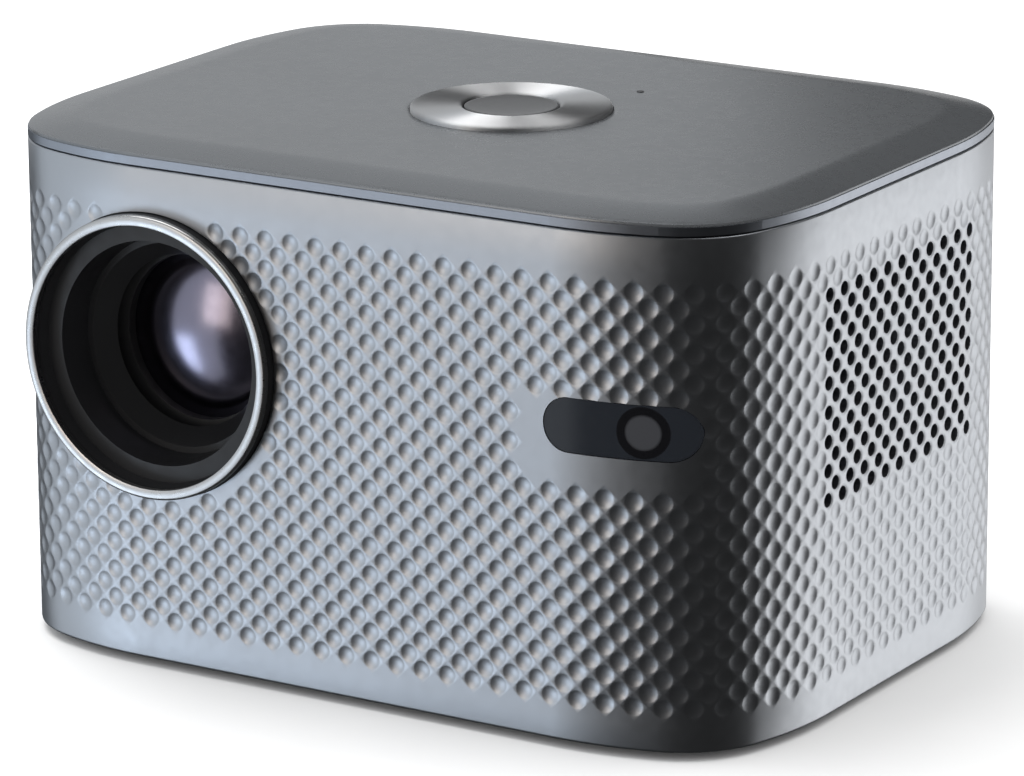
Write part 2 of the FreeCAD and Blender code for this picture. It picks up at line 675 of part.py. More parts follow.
def ring_band(name, outer, inner, low, high):
    """An upright band that follows the case outline."""
    body = doc.addObject("PartDesign::Body", name)
    for index, inset in enumerate((outer, inner)):
        sketch = new_sketch(body, f"{name}_outline_{index}", "XY_Plane")
        outline(sketch, inset)
        kind = "PartDesign::Pad" if index == 0 else "PartDesign::Pocket"
        feature = body.newObject(kind, f"{name}_step_{index}")
        feature.Profile = sketch
        feature.setExpression("Length", link(f"({high}) - ({low})"))
        feature.Reversed = index == 1
    return put(body, "z", ("0", "mid_y"), low)


def pill(name, centre_x, centre_z, length, height, low, high):
    """A bar along Y with a stadium section."""
    half = f"(({length}) - ({height})) / 2"
    ends = [
        rod(f"{name}_end_{i}", "y", (f"{centre_x} {sign} {half}", centre_z), f"({height}) / 2", low, high)
        for i, sign in enumerate("-+")
    ]
    middle = block(f"{name}_middle", (f"{centre_x} - {half}", f"{centre_x} + {half}"), (low, high),
                   (f"{centre_z} - ({height}) / 2", f"{centre_z} + ({height}) / 2"))
    return fuse(name, [middle] + ends)


def rounded_bar(name, half, low_z, high_z, radius, low, high):
    """A bar along Y with a rounded rectangular section, centred on X = 0."""
    bar = block(name + "_blank", (f"-({half})", half), (low, high), (low_z, high_z))
    doc.recompute()
    item = doc.addObject("Part::Fillet", name)
    item.Base = bar
    size = val(radius)
    along = [i for i, edge in enumerate(bar.Shape.Edges, start=1)
             if abs(edge.tangentAt(edge.FirstParameter).y) > 0.9]
    item.Edges = [(i, size, size) for i in along]
    return item


# ---------------------------------------------------------------- case
SIDES = ("-", "")
LEG_SPOTS = [(f"{side}leg_x", along) for side in SIDES for along in ("leg_front", "leg_rear")]
FOOT_SPOTS = [(f"{side}(side_x - foot_inset)", along) for side in SIDES
              for along in ("front_y + foot_inset", "rear_y - foot_inset")]
BUTTON_POSTS = [(f"{side}button_post_out", "mid_y") for side in SIDES]
BOARD_POSTS = [(f"{side}post_x", along) for side in SIDES
               for along in ("board_start + post_front_in", "board_end - post_rear_in")]
POWER_POSTS = [(across, along) for across in ("power_post_side - power_left", "power_right - power_post_side")
               for along in ("power_front + power_post_in", "power_back - power_post_in")]
PANEL_SCREWS = [(f"{side}(panel_half - panel_screw_in)", up) for side in SIDES
                for up in ("opening_high - panel_screw_in", "opening_low + panel_screw_up")]
SOCKETS = (
    ("video", "video_x", "video_half", "video_high"),
    ("data_0", "data_x - data_out", "data_half", "data_high"),
    ("data_1", "data_x + data_out", "data_half", "data_high"),
    ("inlet", "inlet_x", "inlet_half", "inlet_high"),
)


def rods(name, axis, spots, radius, low, high):
    """The same cylinder at several places."""
    return [rod(f"{name}_{i}", axis, spot, radius, low, high) for i, spot in enumerate(spots)]


def vent_bars():
    """Diamond bars through both side walls, in staggered rows that mirror each other half a pitch off."""
    pitch = val("hole_pitch")
    half = val("hole_half")
    front = val("mid_y + vent_front")
    back = val("mid_y + vent_back")
    low = val("foot_height + vent_low")
    inner = val("side_x - 2 * case_wall")
    outer = val("side_x + tool_over")
    bars = []
    for side, lead in ((1, 0), (-1, 1)):
        for row in range(int(val("vent_rows"))):
            height = low + row * pitch / 2
            along = front + (row + lead) % 2 * pitch / 2
            while along <= back:
                corners = [Vector(side * inner, along + du, height + dv)
                           for du, dv in ((-half, 0), (0, -half), (half, 0), (0, half), (-half, 0))]
                face = Part.Face(Part.makePolygon(corners))
                bars.append(face.extrude(Vector(side * (outer - inner), 0, 0)))
                along += pitch
    item = doc.addObject("Part::Feature", "vent_bars")
    item.Shape = Part.makeCompound(bars)
    return item


def make_sleeve():
    """The wrap-round sleeve, with its lens hole, window, vents, rear opening and tray slot."""
    blank = ring_band("sleeve_blank", "0", "case_wall", "foot_height", "sleeve_top")
    lens_hole = rod("lens_hole", "y", ("lens_x", "lens_z"), "rim_radius + fit_gap", "front_y - tool_over",
                    "rim_y + hood_sleeve")
    window_hole = pill("window_hole", "window_x", "window_z", "window_long + 2 * fit_gap",
                       "window_high + 2 * fit_gap", "front_y - tool_over", "front_y + gentle_radius / 2")
    rear_hole = rounded_bar("rear_hole", "panel_half", "opening_low", "opening_high", "panel_round",
                            "rear_y - case_wall - tool_over", "rear_y + tool_over")
    tray_slot = block("tray_slot", ("-drive_half - slot_gap", "drive_half + slot_gap"),
                      ("rear_y - case_wall - tool_over", "rear_y + tool_over"), ("slot_low", "slot_high"))
    piece("sleeve", cut("sleeve_cut", blank, [lens_hole, window_hole, rear_hole, tray_slot, vent_bars()]))


def make_upper_shell():
    """The structural top: a visible edge, a skirt inside the sleeve and the button's guide."""
    plate = slab("shell_plate", "0", "shell_low", "plate_low")
    skirt = ring_band("shell_skirt", "case_wall + fit_gap", "case_wall + fit_gap + skirt_wall",
                      "shell_low - skirt_depth", "shell_low")
    guide = rod("shell_guide", "z", ("0", "mid_y"), "stem_radius + stem_gap + guide_wall", "guide_low",
                "shell_low")
    posts = rods("board_post", "z", BUTTON_POSTS, "post_radius", "button_board_top", "shell_low")
    stem_hole = rod("stem_hole", "z", ("0", "mid_y"), "stem_radius + stem_gap", "guide_low - tool_over",
                    "plate_low + tool_over")
    pipe_hole = rod("shell_pipe_hole", "z", ("pipe_x", "mid_y + pipe_y"), "pipe_radius + run_gap",
                    "shell_low - tool_over", "plate_low + tool_over")
    whole = fuse("shell_whole", [plate, skirt, guide] + posts)
    piece("upper_shell", cut("shell_cut", whole, [stem_hole, pipe_hole]))


def make_top_plate():
    """The dark plate: a thin upright edge, then a bevel up to a flat panel."""
    body = doc.addObject("PartDesign::Body", "plate_blank")
    edge = new_sketch(body, "plate_edge_outline", "XY_Plane")
    outline(edge, "plate_inset")
    pad = body.newObject("PartDesign::Pad", "plate_pad")
    pad.Profile = edge
    pad.setExpression("Length", link("plate_edge"))
    sections = []
    for index, (inset, rise) in enumerate((("plate_inset", "plate_edge"),
                                           ("plate_inset + crown_width", "plate_edge + crown_rise"))):
        section = new_sketch(body, f"crown_outline_{index}", "XY_Plane")
        section.setExpression("AttachmentOffset.Base.z", link(rise))
        outline(section, inset)
        sections.append(section)
    crown = body.newObject("PartDesign::AdditiveLoft", "crown")
    crown.Profile = sections[0]
    crown.Sections = sections[1:]
    crown.Ruled = True
    put(body, "z", ("0", "mid_y"), "plate_low")
    well = rod("ring_well", "z", ("0", "mid_y"), "ring_radius + fit_gap", "panel_top - ring_sink",
               "panel_top + tool_over")
    hole = rod("button_hole", "z", ("0", "mid_y"), "ring_bore", "plate_low - tool_over",
               "panel_top + tool_over")
    pipe_hole = rod("plate_pipe_hole", "z", ("pipe_x", "mid_y + pipe_y"), "pipe_radius + run_gap",
                    "plate_low - tool_over", "panel_top + tool_over")
    piece("top_plate", cut("plate_cut", body, [fuse("ring_seat", [well, hole]), pipe_hole]))


def make_base_cover():
    """The bottom tray: plate, upstanding rim, drive pads, posts and the tripod insert's boss."""
    inset = "case_wall + fit_gap"
    plate = slab("base_plate", inset, "base_low", "base_top")
    rim = ring_band("base_rim", inset, f"{inset} + skirt_wall", "base_top", "slot_low - run_gap")
    pads = [block(f"drive_pad_{i}_{j}", (f"{a} - pad_half", f"{a} + pad_half"),
                  (f"{b} - pad_half", f"{b} + pad_half"), ("base_top", "drive_low"))
            for i, a in enumerate(("pad_side_in - drive_half", "drive_half - pad_side_in"))
            for j, b in enumerate(("chassis_front + pad_front_in", "chassis_back - pad_rear_in"))]
    posts = rods("main_post", "z", BOARD_POSTS, "post_radius", "base_top", "board_z")
    power_posts = rods("power_post", "z", POWER_POSTS, "post_radius", "base_top", "power_low")
    centre = ("0", "insert_y")
    boss = rod("insert_boss", "z", centre, "insert_radius + boss_wall", "base_top", "insert_top")
    insert_hole = rod("insert_hole", "z", centre, "insert_radius", "base_low - tool_over",
                      "insert_top + tool_over")
    holes = rods("base_screw_hole", "z", LEG_SPOTS, "screw_shank + screw_clear", "base_low - tool_over",
                 "base_top + tool_over")
    sinks = rods("base_screw_sink", "z", LEG_SPOTS, "screw_head + fit_gap", "base_low - tool_over",
                 "base_low + head_thick - head_proud")
    seats = rods("foot_seat", "z", FOOT_SPOTS, "foot_radius + fit_gap", "base_low - tool_over",
                 "base_low + foot_sink")
    whole = fuse("base_whole", [plate, rim, boss] + pads + posts + power_posts)
    bores = fuse("base_bores", holes + sinks)
    piece("base_cover", cut("base_cut", whole, [bores, insert_hole] + seats))
    feet = rods("foot", "z", FOOT_SPOTS, "foot_radius", "0", "base_low + foot_sink")
    piece("rubber_feet", group("feet", feet))
    insert = rod("insert_barrel", "z", centre, "insert_radius", "base_low", "insert_top")
    thread = rod("insert_thread", "z", centre, "insert_bore", "base_low - tool_over",
                 "insert_top + tool_over")
    piece("tripod_insert", cut("insert_cut", insert, [thread]))
    heads = rods("base_head", "z", LEG_SPOTS, "screw_head", "base_low - head_proud",
                 "base_low + head_thick - head_proud")
    shanks = rods("base_shank", "z", LEG_SPOTS, "screw_shank", "base_low + head_thick - head_proud",
                  "base_low + head_thick + screw_length")
    screws = [fuse(f"base_screw_{i}", pair) for i, pair in enumerate(zip(heads, shanks))]
    piece("base_screws", group("base_screw_set", screws))


def make_rear_panel():
    """The rear panel: flange behind the sleeve, speaker slots, socket holes and its screws."""
    face = rounded_bar("panel_plug", "panel_half - fit_gap", "opening_low + fit_gap",
                       "opening_high - fit_gap", "panel_round", "panel_inner", "panel_face")
    flange = rounded_bar("panel_flange", "panel_half + panel_lip", "opening_low - panel_lip_low",
                         "opening_high + panel_lip", "panel_round", "panel_back", "panel_inner")
    through = ("panel_back - tool_over", "panel_face + tool_over")
    slots = []
    for side in SIDES:
        for k in range(int(val("slot_count"))):
            middle = f"{side}speaker_x + ({k} - (slot_count - 1) / 2) * slot_step"
            slots.append(block("grille_slot", (f"{middle} - slot_width / 2", f"{middle} + slot_width / 2"),
                               through, ("speaker_z - slot_tall / 2", "speaker_z + slot_tall / 2")))
    holes = [block(f"{name}_hole", (f"{x} - {half} - socket_gap", f"{x} + {half} + socket_gap"), through,
                   ("board_top - socket_gap", f"board_top + {high} + socket_gap"))
             for name, x, half, high in SOCKETS]
    audio = rod("audio_hole", "y", ("audio_x", "jack_z"), "jack_radius + socket_gap", *through)
    bores = rods("rear_screw_hole", "y", PANEL_SCREWS, "screw_shank + screw_clear", *through)
    whole = fuse("panel_whole", [face, flange])
    piece("rear_panel", cut("panel_cut", whole, slots + holes + [audio] + bores))
    heads = rods("rear_head", "y", PANEL_SCREWS, "screw_head", "panel_face",
                 "panel_face + head_thick - head_proud")
    shanks = rods("rear_shank", "y", PANEL_SCREWS, "screw_shank", "panel_face - screw_length", "panel_face")
    screws = [fuse(f"rear_screw_{i}", pair) for i, pair in enumerate(zip(heads, shanks))]
    piece("rear_screws", group("rear_screw_set", screws))


# ---------------------------------------------------------------- lens
DOME_STEPS = (1, 0.7, 0.35)


def dome(radius, edge, rise):
    """Corners of a shallow dome made of bevels, from its edge to a small flat on the axis."""
    corners = [(f"({radius}) * {step}", f"({edge}) + ({rise}) * (1 - {step}^2)") for step in DOME_STEPS]
    return corners + [("0", corners[-1][1])]


def make_lens():
    """Hood, rim, barrel, glasses and focus drive, set out from the lens axis."""
    axis = ("lens_x", "lens_z")
    profile = [
        ("rim_radius - rim_width", "rim_thick"),
        ("rim_radius", "rim_thick"),
        ("rim_radius", "hood_sleeve"),
        ("hood_shelf_one + hood_skin", "hood_sleeve"),
        ("hood_step_two + hood_skin", "hood_step_two_at"),
        ("hood_step_two + hood_skin", "hood_depth"),
        ("hood_mouth", "hood_depth"),
        ("hood_shelf_two", "hood_step_two_at"),
        ("hood_step_two", "hood_step_two_at"),
        ("hood_shelf_one", "hood_step_one_at"),
        ("hood_step_one", "hood_step_one_at"),
        ("rim_radius - rim_width", "rim_thick + hood_shoulder"),
    ]
    piece("lens_bezel", turned("hood", "y", axis, "rim_y", profile))
    rim = [
        ("rim_radius - rim_width", "rim_bevel"),
        ("rim_radius - rim_width + rim_bevel", "0"),
        ("rim_radius - rim_bevel", "0"),
        ("rim_radius", "rim_bevel"),
        ("rim_radius", "rim_thick"),
        ("rim_radius - rim_width", "rim_thick"),
    ]
    piece("lens_rim", turned("rim", "y", axis, "rim_y", rim))

    shell = rod("barrel_shell", "y", axis, "barrel_radius", "barrel_front", "barrel_end")
    bore = rod("barrel_bore", "y", axis, "barrel_radius - barrel_wall", "barrel_front - tool_over",
               "barrel_end + tool_over")
    arm = block("barrel_arm", ("lens_x + barrel_radius - arm_bite", "focus_x - nut_radius + arm_bite"),
                ("nut_y", "nut_y + nut_length"), ("lens_z - arm_half", "lens_z + arm_half"))
    nut = rod("focus_nut", "y", ("focus_x", "lens_z"), "nut_radius", "nut_y", "nut_y + nut_length")
    nut_bore = rod("nut_bore", "y", ("focus_x", "lens_z"), "screw_radius + thread_gap", "nut_y - tool_over",
                   "nut_y + nut_length + tool_over")
    whole = fuse("barrel_whole", [cut("barrel_ring", shell, [bore]), arm, nut])
    piece("lens_barrel", cut("barrel_cut", whole, [nut_bore]))

    ball = doc.addObject("Part::Sphere", "front_ball")
    ball.setExpression("Radius", link("glass_ball"))
    put(ball, "y", axis, "barrel_front + glass_rim - glass_rise + glass_ball")
    disc = rod("front_disc", "y", axis, "glass_radius", "barrel_front + glass_rim - glass_rise - tool_over",
               "barrel_front + 2 * glass_rim")
    piece("front_lens", common("front_glass", ball, disc))
    rear = [("0", "0"), ("glass_radius", "0")] + dome("glass_radius", "glass_rim", "rear_glass_rise")
    piece("rear_lens", turned("rear_glass", "y", axis, "barrel_end - 2 * glass_rim", rear))

    tube = rod("tube_shell", "y", axis, "tube_outer", "hood_end", "engine_front")
    flange = block("tube_flange", ("lens_x - engine_half + flange_in", "lens_x + engine_half - flange_in"),
                   ("engine_front - flange_thick", "engine_front"),
                   ("lens_z - engine_half + flange_in", "lens_z + engine_half - flange_in"))
    ears = [block(f"focus_ear_{i}", ("lens_x + tube_outer - ear_bite", "focus_x + motor_radius"),
                  (low, f"{low} + ear_thick"), ("lens_z - motor_radius", "lens_z + motor_radius"))
            for i, low in enumerate(("ear_front", "screw_end"))]
    tube_hole = rod("tube_hole", "y", axis, "tube_bore", "hood_end - tool_over", "engine_front + tool_over")
    slot = block("arm_slot", ("lens_x + barrel_radius - barrel_wall", "focus_x - nut_radius"),
                 ("ear_front + ear_thick", "screw_end"),
                 ("lens_z - arm_half - arm_gap", "lens_z + arm_half + arm_gap"))
    screw_bore = rod("ear_bore", "y", ("focus_x", "lens_z"), "screw_radius + thread_gap",
                     "ear_front - tool_over", "screw_end + ear_thick + tool_over")
    tube_tools = [fuse("tube_hollow", [tube_hole, slot]), screw_bore]
    piece("lens_mount", cut("tube_cut", fuse("tube_whole", [tube, flange] + ears), tube_tools))

    piece("focus_screw", rod("focus_shaft", "y", ("focus_x", "lens_z"), "screw_radius",
                             "ear_front + run_gap", "screw_end + ear_thick"))
    piece("focus_motor", rod("focus_can", "y", ("focus_x", "lens_z"), "motor_radius", "motor_front",
                             "ear_front"))


# ---------------------------------------------------------------- optical engine
def make_engine():
    """The light path: case, lid, light source, heat sink, lenses, panel and fold mirror."""
    case = block("engine_block", ("engine_start", "engine_end"), ("engine_front", "engine_back"),
                 ("engine_low", "engine_top"))
    hollow = block("engine_hollow", ("engine_start + engine_wall", "engine_end - engine_wall"),
                   ("engine_front + engine_wall", "engine_back - engine_wall"),
                   ("floor_top", "engine_top + tool_over"))
    mouth = rod("engine_mouth", "y", ("lens_x", "lens_z"), "barrel_radius + mouth_gap",
                "engine_front - tool_over", "engine_front + engine_wall + tool_over")
    light = ("mirror_y", "lens_z")
    lamp = rod("engine_lamp_hole", "x", light, "condenser_radius", "engine_end - engine_wall - tool_over",
               "engine_end + tool_over")
    piece("engine_case", cut("engine_cut", case, [hollow, mouth, lamp]))
    piece("engine_lid", block("engine_roof", ("engine_start", "engine_end"), ("engine_front", "engine_back"),
                              ("engine_top", "engine_top + engine_wall")))
    mirror = doc.addObject("Part::Box", "mirror_glass")
    mirror.setExpression("Length", link("mirror_size"))
    mirror.setExpression("Width", link("optic_thick"))
    mirror.setExpression("Height", link("engine_top - floor_top - 2 * fit_gap"))
    mirror.Placement.Rotation = Rotation(Vector(0, 0, 1), val("mirror_turn"))
    mirror.setExpression("Placement.Base.x", link("lens_x - mirror_size / 2 * cos(mirror_turn)"))
    mirror.setExpression("Placement.Base.y", link("mirror_y - mirror_size / 2 * sin(mirror_turn)"))
    mirror.setExpression("Placement.Base.z", link("floor_top + fit_gap"))
    piece("fold_mirror", mirror)
    inside = ("engine_front + engine_wall + fit_gap", "engine_back - engine_wall - fit_gap")
    tall = ("floor_top + fit_gap", "engine_top - fit_gap")
    piece("lcd_panel", block("panel_glass", ("panel_x", "panel_x + optic_thick"), inside, tall))
    sheets = [block(f"fresnel_{i}", (f"panel_x {step}", f"panel_x {step} + optic_thick"), inside, tall)
              for i, step in enumerate(("- fresnel_step", "+ fresnel_step"))]
    piece("fresnel_lenses", group("fresnel_pair", sheets))
    edge = block("condenser_edge", ("condenser_x", "condenser_x + condenser_plate"), inside, tall)
    root = "condenser_rise + condenser_plate / 2"
    profile = [("0", root), ("condenser_radius", root)]
    profile += dome("condenser_radius", "condenser_rise", "-condenser_rise")
    bulge = turned("condenser_dome", "x", light, "condenser_x - condenser_rise", profile)
    piece("condenser_lens", fuse("condenser_whole", [edge, bulge]))
    board = block("lamp_board_plate", ("engine_end", "sink_x"), inside, tall)
    chip = block("lamp_chip", ("engine_end - lamp_high", "engine_end"),
                 ("mirror_y - lamp_half", "mirror_y + lamp_half"),
                 ("lens_z - lamp_half", "lens_z + lamp_half"))
    piece("led_module", fuse("lamp_whole", [board, chip]))
    base = block("sink_plate", ("sink_x", "sink_x + sink_base"), inside, tall)
    fins = []
    for i in range(int(val("fin_count"))):
        start = f"{inside[0]} + {i} * (({inside[1]}) - ({inside[0]}) - fin_thick) / (fin_count - 1)"
        fins.append(block(f"fin_{i}", ("sink_x + sink_base", "fan_x - sink_gap"),
                          (start, f"{start} + fin_thick"), tall))
    piece("heat_sink", fuse("sink_whole", [base] + fins))


def make_fan():
    """The exhaust fan: a square frame with a cross of struts, and its bladed rotor."""
    axis = ("fan_y", "fan_z")
    frame = block("fan_block", ("fan_x", "fan_x + fan_thick"),
                  ("fan_y - fan_size / 2", "fan_y + fan_size / 2"), ("deck_top", "deck_top + fan_size"))
    bore = rod("fan_hole", "x", axis, "fan_bore", "fan_x - tool_over", "fan_x + fan_thick + tool_over")
    thick = ("fan_x", "fan_x + strut_thick")
    reach = "(fan_bore + strut_bite)"
    struts = [
        block("fan_strut_flat", thick, (f"fan_y - {reach}", f"fan_y + {reach}"),
              ("fan_z - strut_half", "fan_z + strut_half")),
        block("fan_strut_upright", thick, ("fan_y - strut_half", "fan_y + strut_half"),
              (f"fan_z - {reach}", f"fan_z + {reach}")),
    ]
    seat = rod("fan_seat", "x", axis, "fan_hub", *thick)
    axle_hole = rod("fan_axle_hole", "x", axis, "axle_radius + thread_gap", "fan_x - tool_over",
                    "fan_x + strut_thick + tool_over")
    whole = fuse("fan_whole", [cut("fan_open", frame, [bore])] + struts + [seat])
    piece("fan_frame", cut("fan_cut", whole, [axle_hole]))

    hub = rod("rotor_hub", "x", axis, "fan_hub", "rotor_low", "rotor_high")
    axle = rod("rotor_axle", "x", axis, "axle_radius", "fan_x + run_gap", "fan_x + run_gap + axle_length")
    pitch = Rotation(Vector(0, 0, 1), val("blade_pitch"))
    blades = []
    for i in range(int(val("blade_count"))):
        spin = Rotation(Vector(1, 0, 0), i * 360 / val("blade_count"))
        blade = doc.addObject("Part::Box", f"blade_{i}")
        blade.setExpression("Length", link("blade_chord"))
        blade.setExpression("Width", link("blade_thick"))
        blade.setExpression("Height", link("blade_tip - fan_hub + blade_root"))
        blade.Placement.Rotation = spin * pitch
        outward = spin.multVec(Vector(0, 0, 1))
        chord = (spin * pitch).multVec(Vector(1, 0, 0))
        for side, start in (("x", "(rotor_low + rotor_high) / 2"), ("y", "fan_y"), ("z", "fan_z")):
            blade.setExpression(f"Placement.Base.{side}", link(
                f"{start} + ({getattr(outward, side)}) * (fan_hub - blade_root)"
                f" - ({getattr(chord, side)}) * blade_chord / 2"))
        blades.append(blade)
    sweep = rod("rotor_sweep", "x", axis, "blade_tip", "rotor_low", "rotor_high")
    bladed = common("rotor_bladed", fuse("rotor_blades", blades + [hub]), sweep)
    piece("fan_rotor", fuse("rotor_whole", [bladed, axle]))


def make_deck():
    """The mid deck, its four legs down to the base, and the air filter on the intake side."""
    plate = block("deck_plate", ("deck_side_in - side_x", "side_x - deck_side_in"),
                  ("front_y + deck_front_in", "rear_y - deck_rear_in"), ("deck_low", "deck_top"))
    legs = rods("leg", "z", LEG_SPOTS, "leg_radius", "base_top", "deck_low")
    bores = rods("leg_bore", "z", LEG_SPOTS, "screw_shank", "base_top - tool_over",
                 "base_low + head_thick + screw_length + tool_over")
    piece("mid_deck", cut("deck_cut", fuse("deck_whole", [plate] + legs), bores))
    outside = "-side_x + case_wall + fit_gap"
    piece("air_filter", block("filter_pad", (outside, f"{outside} + filter_thick"),
                              ("mid_y + vent_front + filter_in", "mid_y + vent_back - filter_in"),
                              ("deck_top", "foot_height + vent_low + vent_rows * hole_pitch / 2")))


# ---------------------------------------------------------------- front window and top controls
def make_window():
    """The sensor window follows the front corner's curve; the sensor module is behind it."""
    band = ring_band("window_band", "window_set", "window_set + window_thick", "foot_height", "edge_top")
    bar = pill("window_bar", "window_x", "window_z", "window_long", "window_high", "front_y - tool_over",
               "front_y + gentle_radius / 2")
    piece("sensor_window", common("window_glass", band, bar))
    start = "window_x - window_long / 2"
    eye = rod("sensor_eye", "y", ("window_x + eye_out", "window_z"), "eye_radius", "front_y + eye_back",
              "sensor_y")
    board = block("sensor_plate", (start, "window_x + window_long / 2 - sensor_short"),
                  ("sensor_y", "sensor_y + sensor_board"),
                  ("window_z - sensor_half", "window_z + sensor_half"))
    foot = block("sensor_leg", (start, f"{start} + sensor_board"),
                 ("front_y + case_wall + fit_gap", "sensor_y"),
                 ("window_z - sensor_foot", "window_z + sensor_foot"))
    piece("sensor_module", fuse("sensor_whole", [eye, board, foot]))


def make_controls():
    """Control ring, power button, its board and the status light."""
    centre = ("0", "mid_y")
    ring_high = "ring_sink + ring_rise"
    ring = [
        ("ring_bore", "0"),
        ("ring_radius", "0"),
        ("ring_radius", f"{ring_high} - ring_bevel"),
        ("ring_radius - ring_bevel", ring_high),
        ("ring_bore + ring_bevel", ring_high),
        ("ring_bore", f"{ring_high} - ring_bevel"),
    ]
    piece("control_ring", turned("ring", "z", centre, "panel_top - ring_sink", ring))
    button = [
        ("0", "stem_low - button_low"),
        ("stem_radius", "stem_low - button_low"),
        ("stem_radius", "0"),
        ("ring_bore - button_gap", "0"),
        ("ring_bore - button_gap", "button_thick - button_bevel"),
        ("ring_bore - button_gap - button_bevel", "button_thick"),
        ("0", "button_thick"),
    ]
    piece("power_button", turned("button", "z", centre, "button_low", button))
    board = block("button_plate", ("-button_board_long", "button_board_long"),
                  ("mid_y - button_board_wide", "mid_y + button_board_wide"),
                  ("button_board_low", "button_board_top"))
    switch = block("button_switch", ("-switch_half", "switch_half"),
                   ("mid_y - switch_half", "mid_y + switch_half"),
                   ("button_board_top", "stem_low - button_travel - run_gap"))
    piece("button_board", fuse("button_board_whole", [board, switch]))
    piece("status_light", rod("light_pipe", "z", ("pipe_x", "mid_y + pipe_y"), "pipe_radius", "shell_low",
                              "panel_top + pipe_proud"))


# ---------------------------------------------------------------- boards, sockets and speakers
def metal_socket(name, x, half, high, mouth, tongue):
    """A rectangular socket: a shell with a mouth, given as its width and height, and a tongue in it."""
    shell = block(f"{name}_shell", (f"{x} - {half}", f"{x} + {half}"),
                  ("board_end - socket_deep", "socket_face"), ("board_top", f"board_top + {high}"))
    hole = block(f"{name}_mouth", (f"{x} - {mouth[0]} / 2", f"{x} + {mouth[0]} / 2"),
                 ("board_end - socket_mouth", "rear_y"),
                 (f"board_top + ({high} - {mouth[1]}) / 2", f"board_top + ({high} + {mouth[1]}) / 2"))
    blade = block(f"{name}_tongue", (f"{x} - tongue_half", f"{x} + tongue_half"),
                  ("board_end - socket_mouth - tongue_root", "socket_face - tongue_short"),
                  (f"board_top + {tongue[0]}", f"board_top + {tongue[0]} + {tongue[1]}"))
    return fuse(f"{name}_socket", [cut(f"{name}_open", shell, [hole]), blade])


def make_boards():
    """Main board with its rear sockets, and the power board in front of the drive."""
    board = block("main_plate", ("-board_half", "board_half"), ("board_start", "board_end"),
                  ("board_z", "board_top"))
    chips = []
    for i in range(int(val("chip_count"))):
        middle = f"chip_first + {i} * chip_step"
        chips.append(block(f"chip_{i}", (f"{middle} - chip_half", f"{middle} + chip_half"),
                           ("board_start + chip_in - chip_half", "board_start + chip_in + chip_half"),
                           ("board_top", "board_top + chip_high")))
    piece("main_board", fuse("main_whole", [board] + chips))
    power = block("power_plate", ("-power_left", "power_right"), ("power_front", "power_back"),
                  ("power_low", "power_top"))
    can_y = "(power_front + power_back) / 2"
    large = rod("large_can", "z", ("can_in - power_left", can_y), "can_radius", "power_top",
                "power_top + can_high")
    small = rod("small_can", "z", ("can_in - power_left + can_apart", can_y), "small_can_radius", "power_top",
                "power_top + small_can_high")
    coil = block("coil", ("coil_left", "coil_left + coil_long"),
                 ("power_front + power_post_in", "power_back - power_post_in"),
                 ("power_top", "power_top + coil_high"))
    piece("power_board", fuse("power_whole", [power, coil, large, small]))

    video, data_0, data_1, _ = SOCKETS
    piece("hdmi_socket", metal_socket(*video, ("video_mouth_wide", "video_mouth_high"),
                                      ("video_tongue_low", "video_tongue")))
    data_pair = [metal_socket(*data, ("data_mouth_wide", "data_mouth_high"),
                              ("data_tongue_low", "data_tongue")) for data in (data_0, data_1)]
    piece("usb_sockets", group("data_pair", data_pair))
    jack = block("jack_block", ("audio_x - jack_half", "audio_x + jack_half"),
                 ("board_end - jack_deep", "panel_back - fit_gap"), ("board_top", "board_top + jack_high"))
    nose = rod("jack_nose", "y", ("audio_x", "jack_z"), "jack_radius", "panel_back - fit_gap", "socket_face")
    bore = rod("jack_hole", "y", ("audio_x", "jack_z"), "jack_bore", "board_end - jack_bore_deep", "rear_y")
    piece("audio_jack", cut("jack_cut", fuse("jack_whole", [jack, nose]), [bore]))
    inlet = block("inlet_block", ("inlet_x - inlet_half", "inlet_x + inlet_half"),
                  ("board_end - inlet_deep", "socket_face"), ("board_top", "board_top + inlet_high"))
    spots = [(f"inlet_x {side} lobe_out", "inlet_z") for side in "-+"]
    lobes = rods("inlet_lobe", "y", spots, "lobe_radius", "board_end - inlet_mouth", "rear_y")
    waist = block("inlet_waist", ("inlet_x - lobe_out", "inlet_x + lobe_out"),
                  ("board_end - inlet_mouth", "rear_y"), ("inlet_z - waist_half", "inlet_z + waist_half"))
    pins = rods("inlet_pin", "y", spots, "pin_radius", "board_end - inlet_mouth - pin_root",
                "socket_face - pin_short")
    hollow = fuse("inlet_hollow", lobes + [waist])
    piece("power_inlet", fuse("inlet_whole", [cut("inlet_cut", inlet, [hollow])] + pins))


def make_speakers():
    """Two full-range speakers on the rear panel, each a turned frame, cone and magnet."""
    profile = [
        ("0", "cone_floor"),
        ("speaker_radius - cone_edge", "speaker_depth - cone_drop"),
        ("speaker_radius - cone_edge", "speaker_depth"),
        ("speaker_radius", "speaker_depth"),
        ("speaker_radius", "speaker_depth - speaker_rim"),
        ("magnet_radius", "magnet_thick"),
        ("magnet_radius", "0"),
        ("0", "0"),
    ]
    for label, side in zip(("speaker_left", "speaker_right"), SIDES):
        piece(label, turned(label + "_turned", "y", (f"{side}speaker_x", "speaker_z"),
                            "panel_back - fit_gap - speaker_depth", profile))


